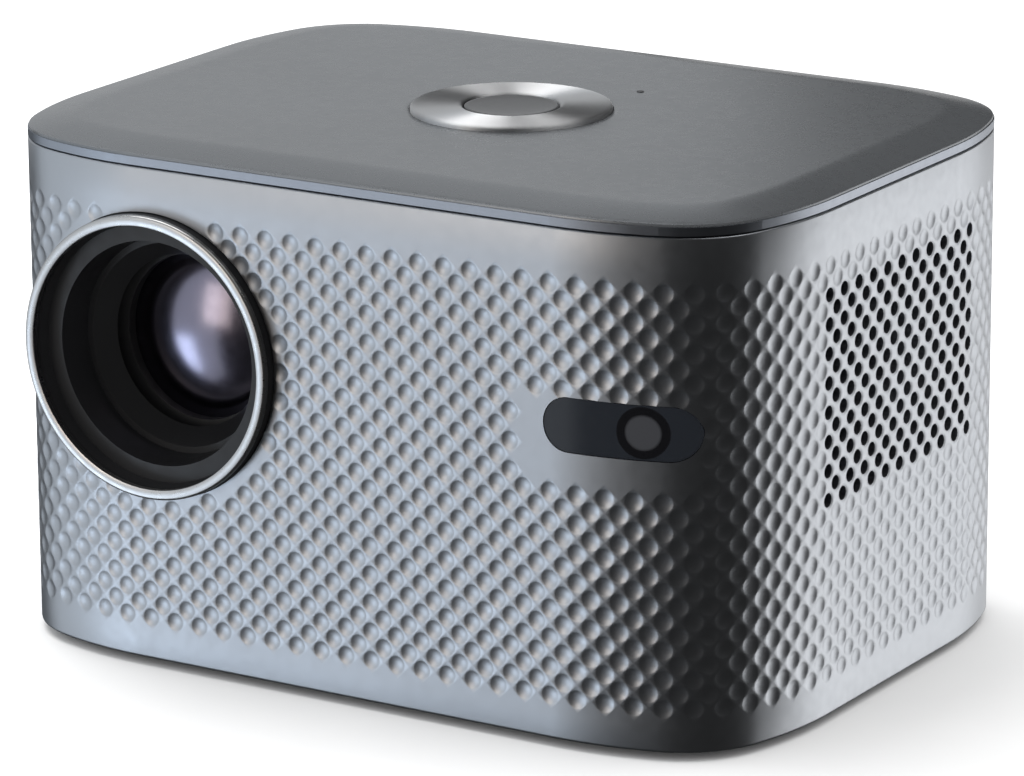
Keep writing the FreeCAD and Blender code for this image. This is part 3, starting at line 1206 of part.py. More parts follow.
# ---------------------------------------------------------------- disc drive
def make_drive():
    """The fixed drive case: a sheet chassis open at the rear and above, and its lid."""
    outer = block("chassis_block", ("-drive_half", "drive_half"), ("chassis_front", "chassis_back"),
                  ("drive_low", "drive_top - drive_sheet"))
    inner = block("chassis_hollow", ("drive_sheet - drive_half", "drive_half - drive_sheet"),
                  ("chassis_front + drive_sheet", "chassis_back + tool_over"),
                  ("drive_low + drive_sheet", "drive_top + tool_over"))
    piece("drive_chassis", cut("chassis_cut", outer, [inner]))
    piece("drive_lid", block("lid_sheet", ("-drive_half", "drive_half"), ("chassis_front", "chassis_back"),
                             ("drive_top - drive_sheet", "drive_top")))
    rails = [block(f"rail_{i}", span, ("rail_start", "rail_start + rail_length"), ("rail_low", "rail_top"))
             for i, span in enumerate((("-rail_out", "-rail_in"), ("rail_in", "rail_out")))]
    piece("tray_rails", group("rail_pair", rails))


def make_tray():
    """The sliding tray, its bezel and eject button."""
    hub = ("0", "hub_y")
    plate = block("tray_plate", ("-rail_out", "rail_out"), ("tray_front", "bezel_y"),
                  ("flange_low", "tray_rim"))
    beams = [block(f"tray_beam_{i}", span, ("tray_front", "bezel_y"), ("loader_low", "flange_low"))
             for i, span in enumerate((("-beam_out", "-beam_in"), ("beam_in", "beam_out")))]
    ends = [block(f"tray_end_{i}", ("-beam_out", "beam_out"), span, ("loader_low", "flange_low"))
            for i, span in enumerate((("tray_front", "tray_front + beam_width"),
                                      ("bezel_y - beam_width", "bezel_y")))]
    well = rod("disc_well", "z", hub, "well_radius", "well_z", "tray_rim + tool_over")
    under = block("tray_under", ("-beam_in", "beam_in"), ("tray_front + beam_width", "bezel_y - beam_width"),
                  ("loader_low - tool_over", "well_under"))
    hole = rod("table_hole", "z", hub, "window_reach", "loader_low", "tray_rim + tool_over")
    way_bar = block("sled_way_bar", ("-sled_wide / 2 - way_gap", "sled_wide / 2 + way_gap"),
                    ("sled_stop - way_gap", "hub_y"), ("loader_low", "well_z + tool_over"))
    way = swing(group("sled_way", [way_bar]))
    whole = fuse("tray_whole", [plate] + beams + ends)
    piece("disc_tray", cut("tray_cut", whole, [fuse("tray_hollow", [well, under, hole, way])]))

    bezel = block("bezel_bar", ("-drive_half", "drive_half"), ("bezel_y", "rear_y"),
                  ("drive_low", "drive_top"))
    button_x = ("eject_x - eject_long / 2", "eject_x + eject_long / 2")
    button_z = ("eject_z - eject_high / 2", "eject_z + eject_high / 2")
    pocket = block("eject_pocket", (f"{button_x[0]} - run_gap", f"{button_x[1]} + run_gap"),
                   ("bezel_y - tool_over", "rear_y + tool_over"),
                   (f"{button_z[0]} - run_gap", f"{button_z[1]} + run_gap"))
    piece("tray_bezel", cut("bezel_cut", bezel, [pocket]))
    piece("eject_button", block("eject_cap", button_x, ("bezel_y + eject_travel + run_gap", "rear_y"),
                                button_z))


def make_loader():
    """The disc motor, turntable and pickup sled that the tray carries on its plate."""
    hub = ("0", "hub_y")
    piece("loader_plate", block("loader_sheet", ("-beam_in", "beam_in"),
                                ("tray_front + beam_width", "bezel_y - beam_width"),
                                ("loader_low", "loader_top")))
    stator = rod("spindle_can", "z", hub, "spindle_radius", "loader_top", "well_under")
    bore = rod("spindle_bore", "z", hub, "axle_radius + thread_gap", "loader_top - tool_over",
               "well_under + tool_over")
    piece("spindle_motor", cut("spindle_cut", stator, [bore]))
    table = [
        ("0", "loader_top + run_gap - drive_low"),
        ("axle_radius", "loader_top + run_gap - drive_low"),
        ("axle_radius", "table_low - drive_low"),
        ("table_radius", "table_low - drive_low"),
        ("table_radius", "table_high"),
        ("hub_radius", "table_high"),
        ("hub_radius", "table_high + hub_high - hub_taper"),
        ("hub_radius - hub_bevel", "table_high + hub_high"),
        ("0", "table_high + hub_high"),
    ]
    piece("turntable", turned("table", "z", hub, "drive_low", table))

    spots = [(f"{side}rod_x", "rod_z") for side in SIDES]
    bars = []
    for i, rail in enumerate(rods("guide_rod", "y", spots, "rod_radius", "rod_start", "rod_end")):
        middle = spots[i][0]
        feet = [block(f"rod_foot_{i}_{j}", (f"{middle} - rod_foot_half", f"{middle} + rod_foot_half"),
                      (low, f"{low} + rod_foot"), ("loader_top", "rod_top"))
                for j, low in enumerate(("rod_start - rod_foot", "rod_end"))]
        bars.append(fuse(f"guide_bar_{i}", [rail] + feet))
    piece("guide_rods", swing(group("rod_pair", bars)))

    sled_span = ("sled_y - sled_long / 2", "sled_y + sled_long / 2")
    sled = block("sled_block", ("-sled_wide / 2", "sled_wide / 2"), sled_span,
                 ("loader_top + run_gap", "sled_top"))
    lens = rod("sled_eye", "z", ("0", "sled_y"), "sled_lens", "sled_top", "sled_top + sled_lens_high")
    bores = rods("sled_bore", "y", spots + [("0", "rod_z")], "rod_radius + rod_gap",
                 f"{sled_span[0]} - tool_over", f"{sled_span[1]} + tool_over")
    piece("pickup_sled", swing(cut("sled_cut", fuse("sled_whole", [sled, lens]), bores)))
    shaft = rod("sled_shaft", "y", ("0", "rod_z"), "rod_radius", "rod_start + run_gap", "rod_end")
    piece("sled_screw", swing(group("sled_shafts", [shaft])))
    can = block("sled_can", ("-sled_motor_half", "sled_motor_half"),
                ("rod_start - sled_motor_long", "rod_start"), ("loader_top", "rod_top"))
    piece("sled_motor", swing(group("sled_cans", [can])))


make_sleeve()
make_upper_shell()
make_top_plate()
make_base_cover()
make_rear_panel()
make_lens()
make_engine()
make_fan()
make_deck()
make_window()
make_controls()
make_boards()
make_speakers()
make_drive()
make_tray()
make_loader()
doc.recompute()

# ---------------------------------------------------------------- checks and files
for item in doc.Objects:
    if "Invalid" in item.State or "Error" in item.State:
        raise RuntimeError(f"{item.Name} did not build: {item.State}")
for item in pieces:
    if item.Shape.isNull() or not item.Shape.isValid() or not item.Shape.Solids:
        raise RuntimeError(f"{item.Label} has no valid solid")

os.makedirs("parts", exist_ok=True)
for item in pieces:
    item.Shape.exportStep(f"parts/{item.Label}.step")
print(f"{len(pieces)} sub-parts written")
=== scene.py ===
"""The looks of a box projector with a disc drive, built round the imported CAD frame.

Lengths are in millimetres, which MM turns into metres, unless a comment says otherwise.
"""

import math

import bmesh
import bpy
from mathutils import Matrix, Vector


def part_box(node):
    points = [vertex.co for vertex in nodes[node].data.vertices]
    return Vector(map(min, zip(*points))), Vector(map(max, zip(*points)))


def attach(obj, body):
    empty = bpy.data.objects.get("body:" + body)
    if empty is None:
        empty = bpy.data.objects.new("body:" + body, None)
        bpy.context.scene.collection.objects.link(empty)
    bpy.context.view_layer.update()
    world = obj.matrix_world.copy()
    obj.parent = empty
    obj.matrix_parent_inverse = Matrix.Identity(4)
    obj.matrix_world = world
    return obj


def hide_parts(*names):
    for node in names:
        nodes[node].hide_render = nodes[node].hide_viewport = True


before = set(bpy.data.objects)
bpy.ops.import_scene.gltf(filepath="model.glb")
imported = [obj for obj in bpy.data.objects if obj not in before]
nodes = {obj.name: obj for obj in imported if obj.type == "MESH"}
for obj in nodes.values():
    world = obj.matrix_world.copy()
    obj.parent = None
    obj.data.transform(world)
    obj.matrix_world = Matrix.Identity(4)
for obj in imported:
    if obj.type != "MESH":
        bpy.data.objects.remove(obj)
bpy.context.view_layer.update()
MM = 0.001


# ---------------------------------------------------------------- places taken from the frame
def corners_of(node):
    """A CAD node's lowest and highest corners, in millimetres to a hundredth."""
    return [[round(value / MM, 2) for value in corner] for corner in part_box(node)]


def middle_of(node):
    """The middle of a CAD node's box, in millimetres."""
    return [(low + high) / 2 for low, high in zip(*corners_of(node))]


(_, FRONT_Y, SLEEVE_LOW), (HALF_WIDE, REAR_Y, SLEEVE_HIGH) = corners_of("sleeve")
MID_Y = (FRONT_Y + REAR_Y) / 2
HALF_DEEP = (REAR_Y - FRONT_Y) / 2
(_, _, PLATE_LOW), (PLATE_HALF_WIDE, _, PLATE_HIGH) = corners_of("top_plate")
_, (RING_RADIUS, _, RING_TOP) = corners_of("control_ring")
_, (BUTTON_RADIUS, _, BUTTON_TOP) = corners_of("power_button")
LENS_X, _, LENS_Z = middle_of("lens_bezel")
(HOOD_LEFT, _, _), (HOOD_RIGHT, _, _) = corners_of("lens_bezel")
RIM_RADIUS = (HOOD_RIGHT - HOOD_LEFT) / 2  # the rim is as wide as the hood behind it
(_, RIM_FRONT, _), (_, RIM_BACK, _) = corners_of("lens_rim")
(GLASS_LEFT, GLASS_FRONT, _), (GLASS_RIGHT, GLASS_BACK, _) = corners_of("front_lens")
GLASS_RADIUS = (GLASS_RIGHT - GLASS_LEFT) / 2
WINDOW_X, _, WINDOW_Z = middle_of("sensor_window")
(WINDOW_LEFT, _, WINDOW_LOW), (WINDOW_RIGHT, _, WINDOW_HIGH) = corners_of("sensor_window")
(_, _, PANEL_LOW), (PANEL_HALF_WIDE, _, PANEL_HIGH) = corners_of("rear_panel")
(_, _, BEZEL_LOW), (BEZEL_HALF_WIDE, _, BEZEL_HIGH) = corners_of("tray_bezel")

# ---------------------------------------------------------------- camera
CAMERA_AZIMUTH = math.radians(31.82)
CAMERA_ELEVATION = math.radians(15.61)
CAMERA_ROLL = -0.006142  # radians
CAMERA_AIM = Vector((0.0, 2.0, 73.69))
CAMERA_DISTANCE = 1575.2
FOCAL_LENGTH = 198.63
SENSOR_WIDTH = 36.0
CAMERA_SHIFT = (-0.00097, -0.0220)  # shares of the picture's width
CLIP_NEAR = 0.05  # metres
CLIP_FAR = 50.0  # metres


def direction(azimuth, elevation):
    """The way from the part to a place round it: azimuth from the front to the right, in radians."""
    return Vector((
        math.sin(azimuth) * math.cos(elevation),
        -math.cos(azimuth) * math.cos(elevation),
        math.sin(elevation),
    ))


def make_camera():
    """A long lens on the part's front and right side, turned by a slight roll."""
    away = direction(CAMERA_AZIMUTH, CAMERA_ELEVATION)
    level = Vector((math.cos(CAMERA_AZIMUTH), math.sin(CAMERA_AZIMUTH), 0.0))
    upward = away.cross(level)
    right = math.cos(CAMERA_ROLL) * level + math.sin(CAMERA_ROLL) * upward
    up = -math.sin(CAMERA_ROLL) * level + math.cos(CAMERA_ROLL) * upward
    data = bpy.data.cameras.new("camera")
    data.lens = FOCAL_LENGTH
    data.sensor_width = SENSOR_WIDTH
    data.shift_x, data.shift_y = CAMERA_SHIFT
    data.clip_start = CLIP_NEAR
    data.clip_end = CLIP_FAR
    camera = bpy.data.objects.new("camera", data)
    bpy.context.scene.collection.objects.link(camera)
    turn = Matrix((right, up, away)).transposed().to_4x4()
    camera.matrix_world = Matrix.Translation((CAMERA_AIM + away * CAMERA_DISTANCE) * MM) @ turn
    bpy.context.scene.camera = camera
    bpy.context.scene.view_settings.view_transform = "Standard"


make_camera()


# ---------------------------------------------------------------- shader helpers
def new_material(name):
    """A material with its Principled shader, ready to be given textures."""
    material = bpy.data.materials.new(name)
    material.use_nodes = True
    shader = material.node_tree.nodes["Principled BSDF"]
    return material, shader


def add(material, kind, **values):
    """A shader node, with its inputs or its own settings set by name."""
    node = material.node_tree.nodes.new(kind)
    for key, value in values.items():
        if key in node.inputs:
            node.inputs[key].default_value = value
        else:
            setattr(node, key, value)
    return node


def join(material, start, end):
    """Links an output socket to an input socket."""
    material.node_tree.links.new(start, end)


def object_coordinates(material):
    """Places in the object's own space, in metres."""
    return add(material, "ShaderNodeTexCoord").outputs["Object"]


def noise(material, scale):
    """Noise in the object's own space, with scale in waves per millimetre."""
    texture = add(material, "ShaderNodeTexNoise", Scale=scale / MM, Detail=3.0)
    join(material, object_coordinates(material), texture.inputs["Vector"])
    return texture.outputs["Fac"]


def distance_from_axis(material, point, across):
    """The distance in metres from an axis through point; across has a 1 for each direction that counts."""
    shift = add(material, "ShaderNodeMapping")
    shift.inputs["Location"].default_value = [-value * MM for value in point]
    join(material, object_coordinates(material), shift.inputs["Vector"])
    flat = add(material, "ShaderNodeVectorMath", operation="MULTIPLY")
    flat.inputs[1].default_value = across
    join(material, shift.outputs["Vector"], flat.inputs[0])
    length = add(material, "ShaderNodeVectorMath", operation="LENGTH")
    join(material, flat.outputs["Vector"], length.inputs[0])
    return length.outputs["Value"]


NOISE_LOW = 0.3
NOISE_HIGH = 0.7


def vary(material, amount, low, high, socket):
    """Spreads noise over low to high and feeds a number socket."""
    spread = add(material, "ShaderNodeMapRange")
    spread.inputs["From Min"].default_value = NOISE_LOW
    spread.inputs["From Max"].default_value = NOISE_HIGH
    spread.inputs["To Min"].default_value = low
    spread.inputs["To Max"].default_value = high
    join(material, amount, spread.inputs["Value"])
    join(material, spread.outputs["Result"], socket)


def tint(material, amount, stops, socket):
    """Turns an amount into a colour by (amount, colour) stops and feeds a colour socket."""
    ramp = add(material, "ShaderNodeValToRGB")
    elements = ramp.color_ramp.elements
    for number, (position, colour) in enumerate(stops):
        element = elements[number] if number < len(elements) else elements.new(position)
        element.position = position
        element.color = (*colour, 1.0)
    join(material, amount, ramp.inputs["Fac"])
    join(material, ramp.outputs["Color"], socket)


def grain(material, shader, height, depth, strength):
    """A fine bump, depth in millimetres."""
    bump = add(material, "ShaderNodeBump", Strength=strength, Distance=depth * MM)
    join(material, height, bump.inputs["Height"])
    join(material, bump.outputs["Normal"], shader.inputs["Normal"])


# ---------------------------------------------------------------- materials
CLOUDS = 0.02  # waves per millimetre of the colour's variation
SMEARS = 0.35  # waves per millimetre of the gloss's variation


def surface(name, colour, spread, rough, metallic=0.0, pits=2.0, depth=0.03, strength=0.3, **sockets):
    """A finish whose colour varies by a share, whose roughness runs from rough[0] to rough[1] and whose
    grain has pits waves per millimetre. Other sockets are set by name."""
    material, shader = new_material(name)
    darker = [value * (1.0 - spread) for value in colour]
    lighter = [min(1.0, value * (1.0 + spread)) for value in colour]
    stops = ((NOISE_LOW, darker), (NOISE_HIGH, lighter))
    tint(material, noise(material, CLOUDS), stops, shader.inputs["Base Color"])
    vary(material, noise(material, SMEARS), *rough, shader.inputs["Roughness"])
    shader.inputs["Metallic"].default_value = metallic
    grain(material, shader, noise(material, pits), depth, strength)
    for key, value in sockets.items():
        shader.inputs[key.replace("_", " ")].default_value = value
    return material


def window_glass(name, eye, clear, mask, reach=10.0):
    """Smoked glass: a clear round eye, a black printed ring round it and a dark mask further out.

    eye is a point on the eye's axis, clear and mask are the radii where the ring begins and ends, and reach
    is the radius that the colours are spread over.
    """
    material, shader = new_material(name)
    smoke = (0.035, 0.036, 0.040)
    black = (0.004, 0.004, 0.005)
    printed = (0.012, 0.014, 0.018)
    amount = add(material, "ShaderNodeMapRange")
    amount.inputs["From Max"].default_value = reach * MM
    join(material, distance_from_axis(material, eye, (1.0, 0.0, 1.0)), amount.inputs["Value"])
    stops = (
        ((clear - 0.8) / reach, smoke),
        (clear / reach, black),
        ((mask - 0.4) / reach, black),
        (mask / reach, printed),
    )
    tint(material, amount.outputs["Result"], stops, shader.inputs["Base Color"])
    vary(material, noise(material, SMEARS), 0.14, 0.2, shader.inputs["Roughness"])
    grain(material, shader, noise(material, 3.0), 0.002, 0.05)
    shader.inputs["Specular IOR Level"].default_value = 0.4
    return material


def coated_glass(name):
    """Clear glass with a thin coating and faint dust."""
    material, shader = new_material(name)
    shader.inputs["Transmission Weight"].default_value = 1.0
    shader.inputs["IOR"].default_value = 1.6
    shader.inputs["Thin Film Thickness"].default_value = 420.0
    shader.inputs["Thin Film IOR"].default_value = 1.38
    stops = ((NOISE_LOW, (0.90, 0.93, 1.0)), (NOISE_HIGH, (0.96, 0.97, 1.0)))
    tint(material, noise(material, 0.05), stops, shader.inputs["Base Color"])
    vary(material, noise(material, 0.6), 0.03, 0.06, shader.inputs["Roughness"])
    return material


def brushed(name, colour, centre, groove=0.86, lines=9.0):
    """Lathe-turned metal: fine rings round an upright axis, with the highlight drawn out across them.

    groove is the grooves' share of the colour, and lines is the number of rings in a millimetre.
    """
    material, shader = new_material(name)
    rings = add(material, "ShaderNodeTexNoise", noise_dimensions="1D", Scale=lines / MM, Detail=4.0)
    join(material, distance_from_axis(material, centre, (1.0, 1.0, 0.0)), rings.inputs["W"])
    height = rings.outputs["Fac"]
    stops = ((NOISE_LOW, [groove * value for value in colour]), (NOISE_HIGH, colour))
    tint(material, height, stops, shader.inputs["Base Color"])
    vary(material, height, 0.5, 0.6, shader.inputs["Roughness"])
    grain(material, shader, height, 0.006, 0.25)
    shader.inputs["Metallic"].default_value = 1.0
    shader.inputs["Anisotropic"].default_value = 0.95
    shader.inputs["Anisotropic Rotation"].default_value = 0.25
    tangent = add(material, "ShaderNodeTangent", direction_type="RADIAL", axis="Z")
    join(material, tangent.outputs["Tangent"], shader.inputs["Tangent"])
    return material


# metals and metallic paints
paint = surface("silver_paint", (0.49, 0.51, 0.54), 0.02, (0.38, 0.42),
                metallic=1.0, pits=6.0, depth=0.01, strength=0.2)
# The upper shell's band is the sleeve's silver paint made darker and bluer: the darkening is painted shade.
shaded_shell_paint = surface("shaded_shell_paint", (0.345, 0.37, 0.415), 0.02, (0.36, 0.4),
                      metallic=1.0, pits=6.0, depth=0.01, strength=0.2)
brass = surface("insert_brass", (0.62, 0.43, 0.17), 0.06, (0.25, 0.35),
                metallic=1.0, pits=4.0, depth=0.01, strength=0.2)
steel = surface("bright_steel", (0.55, 0.55, 0.56), 0.05, (0.26, 0.34),
                metallic=1.0, pits=1.5, depth=0.004, strength=0.1)
black_steel = surface("black_steel", (0.03, 0.03, 0.032), 0.1, (0.3, 0.4),
                      metallic=0.7, pits=4.0, depth=0.01, strength=0.2)
rim_metal = surface("rim_metal", (0.54, 0.535, 0.53), 0.02, (0.26, 0.32),
                    metallic=1.0, pits=5.0, depth=0.002, strength=0.05)
cast = surface("cast_metal", (0.42, 0.43, 0.44), 0.08, (0.4, 0.5),
               metallic=1.0, pits=1.2, depth=0.05, strength=0.4)
ring_metal = brushed("ring_metal", (0.86, 0.865, 0.875), (0.0, MID_Y, 0.0))

# plastics, rubber and foam
plate = surface("plate_plastic", (0.185, 0.195, 0.207), 0.03, (0.26, 0.3),
                metallic=0.7, pits=8.0, depth=0.004, strength=0.06)
dark = surface("dark_plastic", (0.018, 0.019, 0.021), 0.15, (0.48, 0.6),
               pits=2.5, depth=0.04, strength=0.4)
hood = surface("hood_plastic", (0.010, 0.010, 0.011), 0.15, (0.36, 0.44),
               pits=5.0, depth=0.004, strength=0.1, Specular_IOR_Level=0.4)
baffle = surface("baffle_plastic", (0.012, 0.012, 0.013), 0.15, (0.5, 0.6),
                 pits=5.0, depth=0.01, strength=0.2)
grey = surface("grey_plastic", (0.10, 0.103, 0.108), 0.08, (0.42, 0.52),
               pits=2.5, depth=0.03, strength=0.35)
button_face = surface("button_plastic", (0.03, 0.031, 0.033), 0.1, (0.16, 0.2),
                      pits=6.0, depth=0.002, strength=0.05, Specular_IOR_Level=0.2)
light_pipe = surface("light_pipe", (0.03, 0.03, 0.033), 0.1, (0.3, 0.4),
                     pits=6.0, depth=0.005, strength=0.1)
board = surface("board", (0.010, 0.055, 0.028), 0.25, (0.3, 0.4),
                pits=1.0, depth=0.04, strength=0.4)
rubber = surface("foot_rubber", (0.022, 0.022, 0.023), 0.2, (0.7, 0.85),
                 pits=1.5, depth=0.08, strength=0.5)
foam = surface("filter_foam", (0.05, 0.052, 0.05), 0.3, (0.9, 0.95),
               pits=0.8, depth=0.6, strength=0.9)

# glasses and films
EYE_OUT = 6.8  # from the window's middle to its eye
eye_axis = (WINDOW_X + EYE_OUT, 0.0, WINDOW_Z)
glass_dark = window_glass("window_glass", eye_axis, 5.0, 7.2)
glass = coated_glass("lens_glass")
front_glass = surface("front_lens_glass", (0.25, 0.235, 0.31), 0.15, (0.19, 0.23), metallic=1.0,
                      pits=2.0, depth=0.002, strength=0.03, Coat_Weight=0.5, Coat_Roughness=0.12)
mirror = surface("mirror_glass", (0.85, 0.86, 0.87), 0.01, (0.02, 0.03),
                 metallic=1.0, pits=3.0, depth=0.001, strength=0.05)
panel_film = surface("panel_film", (0.05, 0.06, 0.09), 0.2, (0.12, 0.2),
                     pits=2.0, depth=0.01, strength=0.1)

# ---------------------------------------------------------------- outline of the case
# Each corner is a gentle arc, a tight one and a gentle one again; an arc is its radius and its turn.
GENTLE = (99.0, math.radians(17.5))
TIGHT = (29.8, math.radians(55.0))
SETBACK = (
    GENTLE[0] * math.sin(GENTLE[1])
    + TIGHT[0] * (math.sin(GENTLE[1] + TIGHT[1]) - math.sin(GENTLE[1]))
    + GENTLE[0] * (1.0 - math.sin(GENTLE[1] + TIGHT[1]))
)
RUNS = []  # (radius, length) of each stretch round the case; a flat has no radius
for flat_length in (2 * (HALF_WIDE - SETBACK), 2 * (HALF_DEEP - SETBACK)) * 2:
    RUNS.append((None, flat_length))
    for arc_radius, arc_turn in (GENTLE, TIGHT, GENTLE):
        RUNS.append((arc_radius, arc_radius * arc_turn))
AROUND = sum(length for _, length in RUNS)


def on_outline(distance):
    """The x, the y and the outward normal at a distance round the case from the front flat's left end."""
    left = distance
    heading = 0.0
    x = SETBACK - HALF_WIDE
    y = FRONT_Y
    for radius, length in RUNS:
        step = min(left, length)
        if radius is None:
            x += step * math.cos(heading)
            y += step * math.sin(heading)
        else:
            after = heading + step / radius
            x += radius * (math.sin(after) - math.sin(heading))
            y += radius * (math.cos(heading) - math.cos(after))
            heading = after
        left -= step
        if left <= 1e-9:
            break
    return x, y, (math.sin(heading), -math.cos(heading))


# The lattice of dimples is staggered: every other row is half a cell along.
COLUMNS = 95
CELL = 8  # steps round the outline from one dimple to the next
HALF_CELL = 4  # steps along, and also millimetres up, from a cell's middle to its corners
STEPS = COLUMNS * CELL
STEP = AROUND / STEPS
WALK = [on_outline(number * STEP) for number in range(STEPS)]


def at(step, inset, z):
    """The outline's point at a step round the case, moved in by inset, at height z, in metres."""
    x, y, normal = WALK[step % STEPS]
    return Vector(((x - inset * normal[0]) * MM, (y - inset * normal[1]) * MM, z * MM))


def near(step, along, inset, z):
    """As at, but a distance along the outline from that step."""
    whole = math.floor(along / STEP)
    part = along / STEP - whole
    return at(step + whole, inset, z).lerp(at(step + whole + 1, inset, z), part)


# ---------------------------------------------------------------- mesh helpers
CORNER_STEPS = 10  # of each corner of a rounded outline


def add_points(verts, points):
    """Adds points to a mesh's list and gives their numbers."""
    start = len(verts)
    verts.extend(points)
    return list(range(start, len(verts)))


def bridge(faces, low, high):
    """A closed band of faces between two rings of points, or a cone where one of them is a single point."""
    count = max(len(low), len(high))
    for i in range(count):
        j = (i + 1) % count
        if len(low) == 1:
            faces.append((low[0], high[j], high[i]))
        elif len(high) == 1:
            faces.append((low[i], low[j], high[0]))
        else:
            faces.append((low[i], low[j], high[j], high[i]))


def bridge_all(faces, rings):
    """Bands of faces from each ring to the next."""
    for low, high in zip(rings, rings[1:]):
        bridge(faces, low, high)


def new_object(name, verts, faces):
    """A closed mesh as an object, with every face turned outward."""
    mesh = bpy.data.meshes.new(name)
    mesh.from_pydata(verts, [], faces)
    work = bmesh.new()
    work.from_mesh(mesh)
    bmesh.ops.recalc_face_normals(work, faces=work.faces)
    work.to_mesh(mesh)
    work.free()
    obj = bpy.data.objects.new(name, mesh)
    bpy.context.scene.collection.objects.link(obj)
    return obj


def dress(obj, material, body, replaced, slot, sharp=35.0):
    """Gives an object its finish and edges and the body it rides on, and hides the CAD node it replaces;
    the slot argument is not used.
    """
    mesh = obj.data
    mesh.materials.clear()
    mesh.materials.append(material)
    mesh.polygons.foreach_set("use_smooth", [True] * len(mesh.polygons))
    mesh.set_sharp_from_angle(angle=math.radians(sharp))
    mesh.update()
    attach(obj, body)
    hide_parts(replaced)


def lathe(profile, centre, axis, sides):
    """Turns (radius, along) points about an axis: z stands up, and y points to the back.

    A profile that begins on the axis also ends on it; any other is closed on itself.
    """
    verts = []
    faces = []
    rings = []
    for radius, along in profile:
        ring = []
        for i in range(1 if radius == 0.0 else sides):
            angle = 2.0 * math.pi * i / sides
            a = centre[0] + radius * math.cos(angle)
            b = centre[1] + radius * math.sin(angle)
            point = (a, b, along) if axis == "z" else (a, along, b)
            ring.append([value * MM for value in point])
        rings.append(add_points(verts, ring))
    if profile[0][0] > 0.0:
        rings.append(rings[0])
    bridge_all(faces, rings)
    return verts, faces


def turned(name, profile, centre, axis, sides, *finish):
    """A lathe-turned piece; finish is what dress takes after the object."""
    obj = new_object(name, *lathe(profile, centre, axis, sides))
    dress(obj, *finish)


def carve(obj, verts, faces):
    """Cuts a closed mesh out of an object and keeps the result as a plain mesh."""
    cutter = new_object("cutter", verts, faces)
    modifier = obj.modifiers.new("carve", "BOOLEAN")
    modifier.operation = "DIFFERENCE"
    modifier.solver = "MANIFOLD"
    modifier.object = cutter
    graph = bpy.context.evaluated_depsgraph_get()
    result = bpy.data.meshes.new_from_object(obj.evaluated_get(graph))
    obj.modifiers.clear()
    obj.data = result
    bpy.data.objects.remove(cutter)


def prism(outline, low_y, high_y):
    """A straight bar along y, with an outline of (x, z) points."""
    verts = []
    faces = []
    low, high = [
        add_points(verts, [(x * MM, y * MM, z * MM) for x, z in outline])
        for y in (low_y, high_y)
    ]
    faces.append(low[::-1])
    faces.append(high)
    bridge(faces, low, high)
    return verts, faces


def rounded(wide, high, radius, centre):
    """The outline of a rectangle with round corners, as (x, z) points from its right side anticlockwise."""
    points = []
    for side_x, side_z, start in ((1, 1, 0), (-1, 1, 90), (-1, -1, 180), (1, -1, 270)):
        corner_x = centre[0] + side_x * (wide / 2 - radius)
        corner_z = centre[1] + side_z * (high / 2 - radius)
        for i in range(CORNER_STEPS + 1):
            angle = math.radians(start + 90.0 * i / CORNER_STEPS)
            points.append((corner_x + radius * math.cos(angle), corner_z + radius * math.sin(angle)))
    return points


# ---------------------------------------------------------------- the dimpled sleeve
WALL = 2.4
ROW_PITCH = 4
ROW_LOW = 14.5  # middle of the lowest row of cells
ROWS = 29
FIRST_MIDDLE = 28.1  # along the outline, from its start to the middle of the top row's first cell
FIRST_STEP = round(FIRST_MIDDLE / STEP)
DIMPLE = ((2.72, 0.0), (2.35, 0.12), (1.55, 0.34), (0.75, 0.445))  # (radius, depth) of its rings
DIMPLE_FLOOR = 0.475
DIMPLE_SIDES = 16
SMOOTH_BAND = 1.0  # beyond the lattice's outermost corners
LOW_LIP = ((0.0, 0.8), (0.12, 0.3), (0.5, 0.0))  # (inset, height above the sleeve's lower edge)
HIGH_LIP = ((0.5, 0.0), (0.12, 0.2), (0.0, 0.6))  # (inset, depth below its upper edge)

# Cells whose middles lie in these places stay smooth.
FRONT_ZONE = -40.0  # the front's cells have a smaller y, in front of it
REAR_ZONE = 80.0  # the rear's cells have a greater y, behind it
WINDOW_PATCH = ((57.5, 107.5), (73.5, 97.5))  # x and z
LENS_PATCH = 41.2  # radius
PANEL_PATCH = (63.0, (23.0, 126.0))  # half width and z
TRAY_PATCH = (68.5, 26.0)  # half width and top

# Cells whose middles lie in these places are bored through.
SIDE_ZONE = 100.0  # the sides' cells lie further out from the middle
VENT_FRONT = -35.0
VENT_REAR = 46.0
VENT_LOW = 62.5
VENT_ROWS = 15
VENT_HIGH = VENT_LOW + ROW_PITCH * (VENT_ROWS - 1)
VENT_RADIUS = 2.0
VENT_SIDES = 12
VENT_REACH = (-5.0, 3.0)  # along the outward normal, from the outline

FRONT_CUT = (-95.0, -60.0)  # y of the cutters for the front's openings
REAR_CUT = (80.0, 95.0)
HOOD_GAP = 0.3
HOOD_HOLE_SIDES = 128
WINDOW_GAP = 0.15
WINDOW_FLAT = 0.05  # half the straight stretch between the two arcs at each end of its opening
BEZEL_GAPS = (0.6, 0.3)  # beside the tray's bezel, and above and below it
BEZEL_ROUND = 1.5
PANEL_LIPS = (3.0, 2.0)  # of the rear panel's flange, beside and above its face, and below it
PANEL_ROUND = 4.0
SLEEVE_SHARP = 55.0  # degrees; gentler edges, such as the dimples' rims, are shaded as round


def saw(i):
    """A wave that falls from HALF_CELL to -HALF_CELL and rises again over DIMPLE_SIDES points."""
    return abs(i % DIMPLE_SIDES - CELL) - HALF_CELL


DIAMOND = [(saw(i), saw(i - HALF_CELL)) for i in range(DIMPLE_SIDES)]  # a cell's edge, from its middle


def first_step(row):
    """The step of the middle of a row's first cell."""
    return FIRST_STEP + (ROWS - 1 - row) % 2 * HALF_CELL


